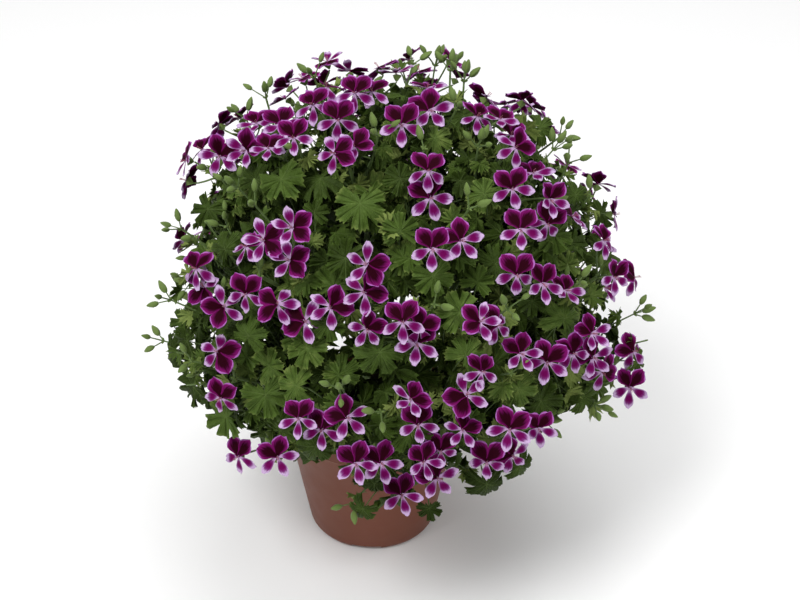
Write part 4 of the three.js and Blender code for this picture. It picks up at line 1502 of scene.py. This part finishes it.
def grow_shoot(shoot, context, looks, masters):
    """Stems, leaves and buds of one shoot, joined in one piece."""
    sizes = context.scene.pelargonium_foliage
    spine, branch, petiole = (
        radius / MM for radius in (sizes.spine_radius, sizes.branch_radius, sizes.petiole_radius)
    )
    thick = [stalk_line(shoot.spine, spine, spine * 0.7)]
    thick += [stalk_line(head.branch, branch, branch * 0.8) for head in shoot.heads]
    thin = [
        petiole_line(leaf, petiole * (0.55 if leaf.kind == "young" else 1)) for leaf in shoot.leaves
    ]
    pieces = []
    for leaf in shoot.leaves:
        forms = masters[leaf.kind]
        master = forms[int(draw(leaf.index, 41) * len(forms))]
        side = leaf.tip.cross(leaf.normal)
        matrix = frame_matrix(side, leaf.tip, leaf.normal, leaf.joint, leaf.size)
        pieces.append(copy_of(master, matrix, leaf_tone_and_painted_shade(leaf)))
    for bunch in shoot.buds:
        grow_buds(bunch, thin, pieces, masters["bud"])
    stems = stalks("stems", thick, looks["stem"], 8)
    fine = stalks("leaf stalks", thin, looks["stem"], 4)
    whole = join([stems, fine, *pieces], f"greenery_{shoot.number:02d}")
    finish_piece(whole, "foliage", f"leafy_shoot_{shoot.number:02d}")


def grow_head(head, looks, masters):
    """Flower stalks, flowers and small buds of one flower head, joined in one piece."""
    lines, pieces = [], []
    for k, (_, outwards, _, _, turn_out) in enumerate(head.flowers):
        root, throat, facing, top = head.flower(k)
        index = head.index * 10 + k
        opened = max(0, min(1, turn_out / FULLY_OPEN))
        facing += (FACING_CHANGE - FACING_STEADIER * opened) * draw_direction(index, 46)
        facing = (facing + TURN_TO_CAMERA * opened * outwards).normalized()
        top = across(top, facing)
        size = FLOWER_SIZE + OPEN_GROWTH * opened + SIZE_CHANGE * draw(index, 44)
        heel = throat - FLOWER_HEEL * facing
        way = heel - root
        aside = way.cross(head.axis).normalized().cross(way).normalized()
        bend = root.lerp(heel, 0.6) + (1 if k % 2 else -1) * FLOWER_STALK_BEND * aside
        lines.append(stalk_line(bezier([root, bend, heel], 6), *FLOWER_STALK))
        master = masters["flower"][int(len(FLOWER_FORMS) * draw(index, 43))]
        matrix = frame_matrix(top.cross(facing), top, facing, throat, size)
        pieces.append(copy_of(master, matrix, draw(index, 45)))
    first = across(ODD_SIDE, head.axis)
    if len(head.flowers) < FEW_FLOWERS:
        middle = head.base + 0.5 * HUB_HEIGHT * head.axis
        lean = (head.axis + 1.3 * first).normalized()
        foot = middle + SMALL_BUD_REACH * lean
        bend = middle.lerp(foot, 0.5) + 0.6 * head.axis
        lines.append(stalk_line([middle, bend, foot], *SMALL_BUD_STALK))
        size = SMALL_BUD_SIZE * BUD_LENGTH
        pieces.append(placed_bud(masters["bud"], foot, lean, head.axis, size, SMALL_BUD_TONE))
    foot = head.base + head.axis
    for k in range(KNOB_BRACTS):
        radial = turned(first, head.axis, 360 * k / KNOB_BRACTS)
        lean = (0.5 * head.axis + radial).normalized()
        pieces.append(
            placed_bud(masters["bud"], foot, lean, radial, KNOB_BRACT_LENGTH, KNOB_BRACT_TONE)
        )
    stalk = stalks("flower stalks", lines, looks["stem"], 6)
    whole = join([stalk, *pieces], f"blooms_{head.index + 1:02d}")
    finish_piece(whole, "petals", f"flower_head_{head.index + 1:02d}")


def drop_masters(masters):
    """Removes the master pieces once every copy is made."""
    for master in masters.values():
        for obj in master if isinstance(master, list) else [master]:
            bpy.data.objects.remove(obj)


class PELARGONIUM_OT_shoots(bpy.types.Operator):
    """Grow the leafy shoots with their stems, leaves and bunches of buds"""

    bl_idname = "pelargonium.shoots"
    bl_label = "Leafy shoots"

    def execute(self, context):
        colours = context.scene.pelargonium_foliage
        flowers = context.scene.pelargonium_flowers
        shoots, _ = plan_plant()
        leaf = leaf_material("leaf", colours.deep, colours.prime, colours.young, colours.vein)
        looks = {"stem": stem_material("stem", colours.stem, 1.5)}
        masters = {kind: make_blades(kind, leaf) for kind in LEAF_KINDS}
        masters["bud"] = make_bud(stem_material("bud", flowers.bud, 1.4))
        for shoot in shoots:
            grow_shoot(shoot, context, looks, masters)
        drop_masters(masters)
        return {"FINISHED"}


class PELARGONIUM_OT_flower_heads(bpy.types.Operator):
    """Grow the flower heads with their stalks, flowers and small buds"""

    bl_idname = "pelargonium.flower_heads"
    bl_label = "Flower heads"

    def execute(self, context):
        colours = context.scene.pelargonium_flowers
        foliage = context.scene.pelargonium_foliage
        _, heads = plan_plant()
        looks = {
            "stem": stem_material("flower stalk", foliage.stem, 1.6),
            "bud": stem_material("sepal", colours.bud, 1.4),
            "upper": upper_petal_material("upper petal", colours.rim, colours.band, colours.heart),
            "lower": lower_petal_material("lower petal", colours.pale, colours.flush, colours.blotch),
            "stamen": stem_material("stamen", colours.stamen, 1.2),
        }
        masters = {
            "flower": [make_flower(k, form, looks) for k, form in enumerate(FLOWER_FORMS)],
            "bud": make_bud(looks["bud"]),
        }
        for head in heads:
            grow_head(head, looks, masters)
        drop_masters(masters)
        return {"FINISHED"}


# Stage


def area_light(name, place, size, power):
    """A round light that is aimed at the plant."""
    data = bpy.data.lights.new(name, "AREA")
    data.shape = "DISK"
    data.size = size
    data.energy = power
    light = link(bpy.data.objects.new(name, data))
    light.location = place
    aim = Vector(LIGHTS_AIM) - Vector(place)
    light.rotation_euler = aim.to_track_quat("-Z", "Y").to_euler()


class PELARGONIUM_OT_stage(bpy.types.Operator):
    """Set the pale floor, the soft studio light and the camera"""

    bl_idname = "pelargonium.stage"
    bl_label = "Stage"

    def execute(self, context):
        select_none()
        bpy.ops.mesh.primitive_plane_add(size=FLOOR_SIZE, location=(0, 0, -FLOOR_DROP))
        floor = bpy.context.object
        floor.name = "floor"
        floor.data.materials.append(floor_material("pale floor", FLOOR_COLOUR))
        for name, values in LIGHTS.items():
            area_light(name, *values)
        world = bpy.data.worlds.new("studio")
        world.use_nodes = True
        back = world.node_tree.nodes["Background"]
        back.inputs["Color"].default_value = (1, 1, 1, 1)
        back.inputs["Strength"].default_value = BACKGROUND_STRENGTH
        context.scene.world = world
        context.scene.view_settings.view_transform = "Standard"
        data = bpy.data.cameras.new("camera")
        data.lens = CAMERA_LENS
        data.sensor_width = SENSOR_WIDTH
        width, height = PICTURE_PIXELS
        x, y = VIEW_CENTRE_PIXEL
        data.shift_x = (width / 2 - x) / width
        data.shift_y = (y - height / 2) / width
        camera = link(bpy.data.objects.new("camera", data))
        camera.location = MM * EYE
        camera.rotation_euler = (math.radians(90) - VIEW_RISE, 0, 0)
        context.scene.camera = camera
        return {"FINISHED"}


class PELARGONIUM_PT_panel(bpy.types.Panel):
    """The steps and settings of the plant"""

    bl_label = "Pelargonium"
    bl_idname = "PELARGONIUM_PT_panel"
    bl_space_type = "VIEW_3D"
    bl_region_type = "UI"
    bl_category = "Pelargonium"

    def draw(self, context):
        for step in STEPS:
            self.layout.operator(step.bl_idname)
        for group in SETTINGS:
            box = self.layout.box()
            settings = getattr(context.scene, group)
            for name in SETTINGS[group].__annotations__:
                box.prop(settings, name)


STEPS = [
    PELARGONIUM_OT_pot,
    PELARGONIUM_OT_potting_mix,
    PELARGONIUM_OT_shoots,
    PELARGONIUM_OT_flower_heads,
    PELARGONIUM_OT_stage,
]
SETTINGS = {
    "pelargonium_pot": PotSettings,
    "pelargonium_foliage": FoliageSettings,
    "pelargonium_flowers": FlowerSettings,
}


def register():
    for group in SETTINGS:
        bpy.utils.register_class(SETTINGS[group])
        setattr(bpy.types.Scene, group, PointerProperty(type=SETTINGS[group]))
    for cls in (*STEPS, PELARGONIUM_PT_panel):
        bpy.utils.register_class(cls)


def unregister():
    for cls in (PELARGONIUM_PT_panel, *reversed(STEPS)):
        bpy.utils.unregister_class(cls)
    for group in SETTINGS:
        delattr(bpy.types.Scene, group)
        bpy.utils.unregister_class(SETTINGS[group])


def main():
    register()
    bpy.ops.pelargonium.pot()
    bpy.ops.pelargonium.potting_mix()
    bpy.ops.pelargonium.shoots()
    bpy.ops.pelargonium.flower_heads()
    bpy.ops.pelargonium.stage()
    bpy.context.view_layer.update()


if __name__ == "__main__":
    main()
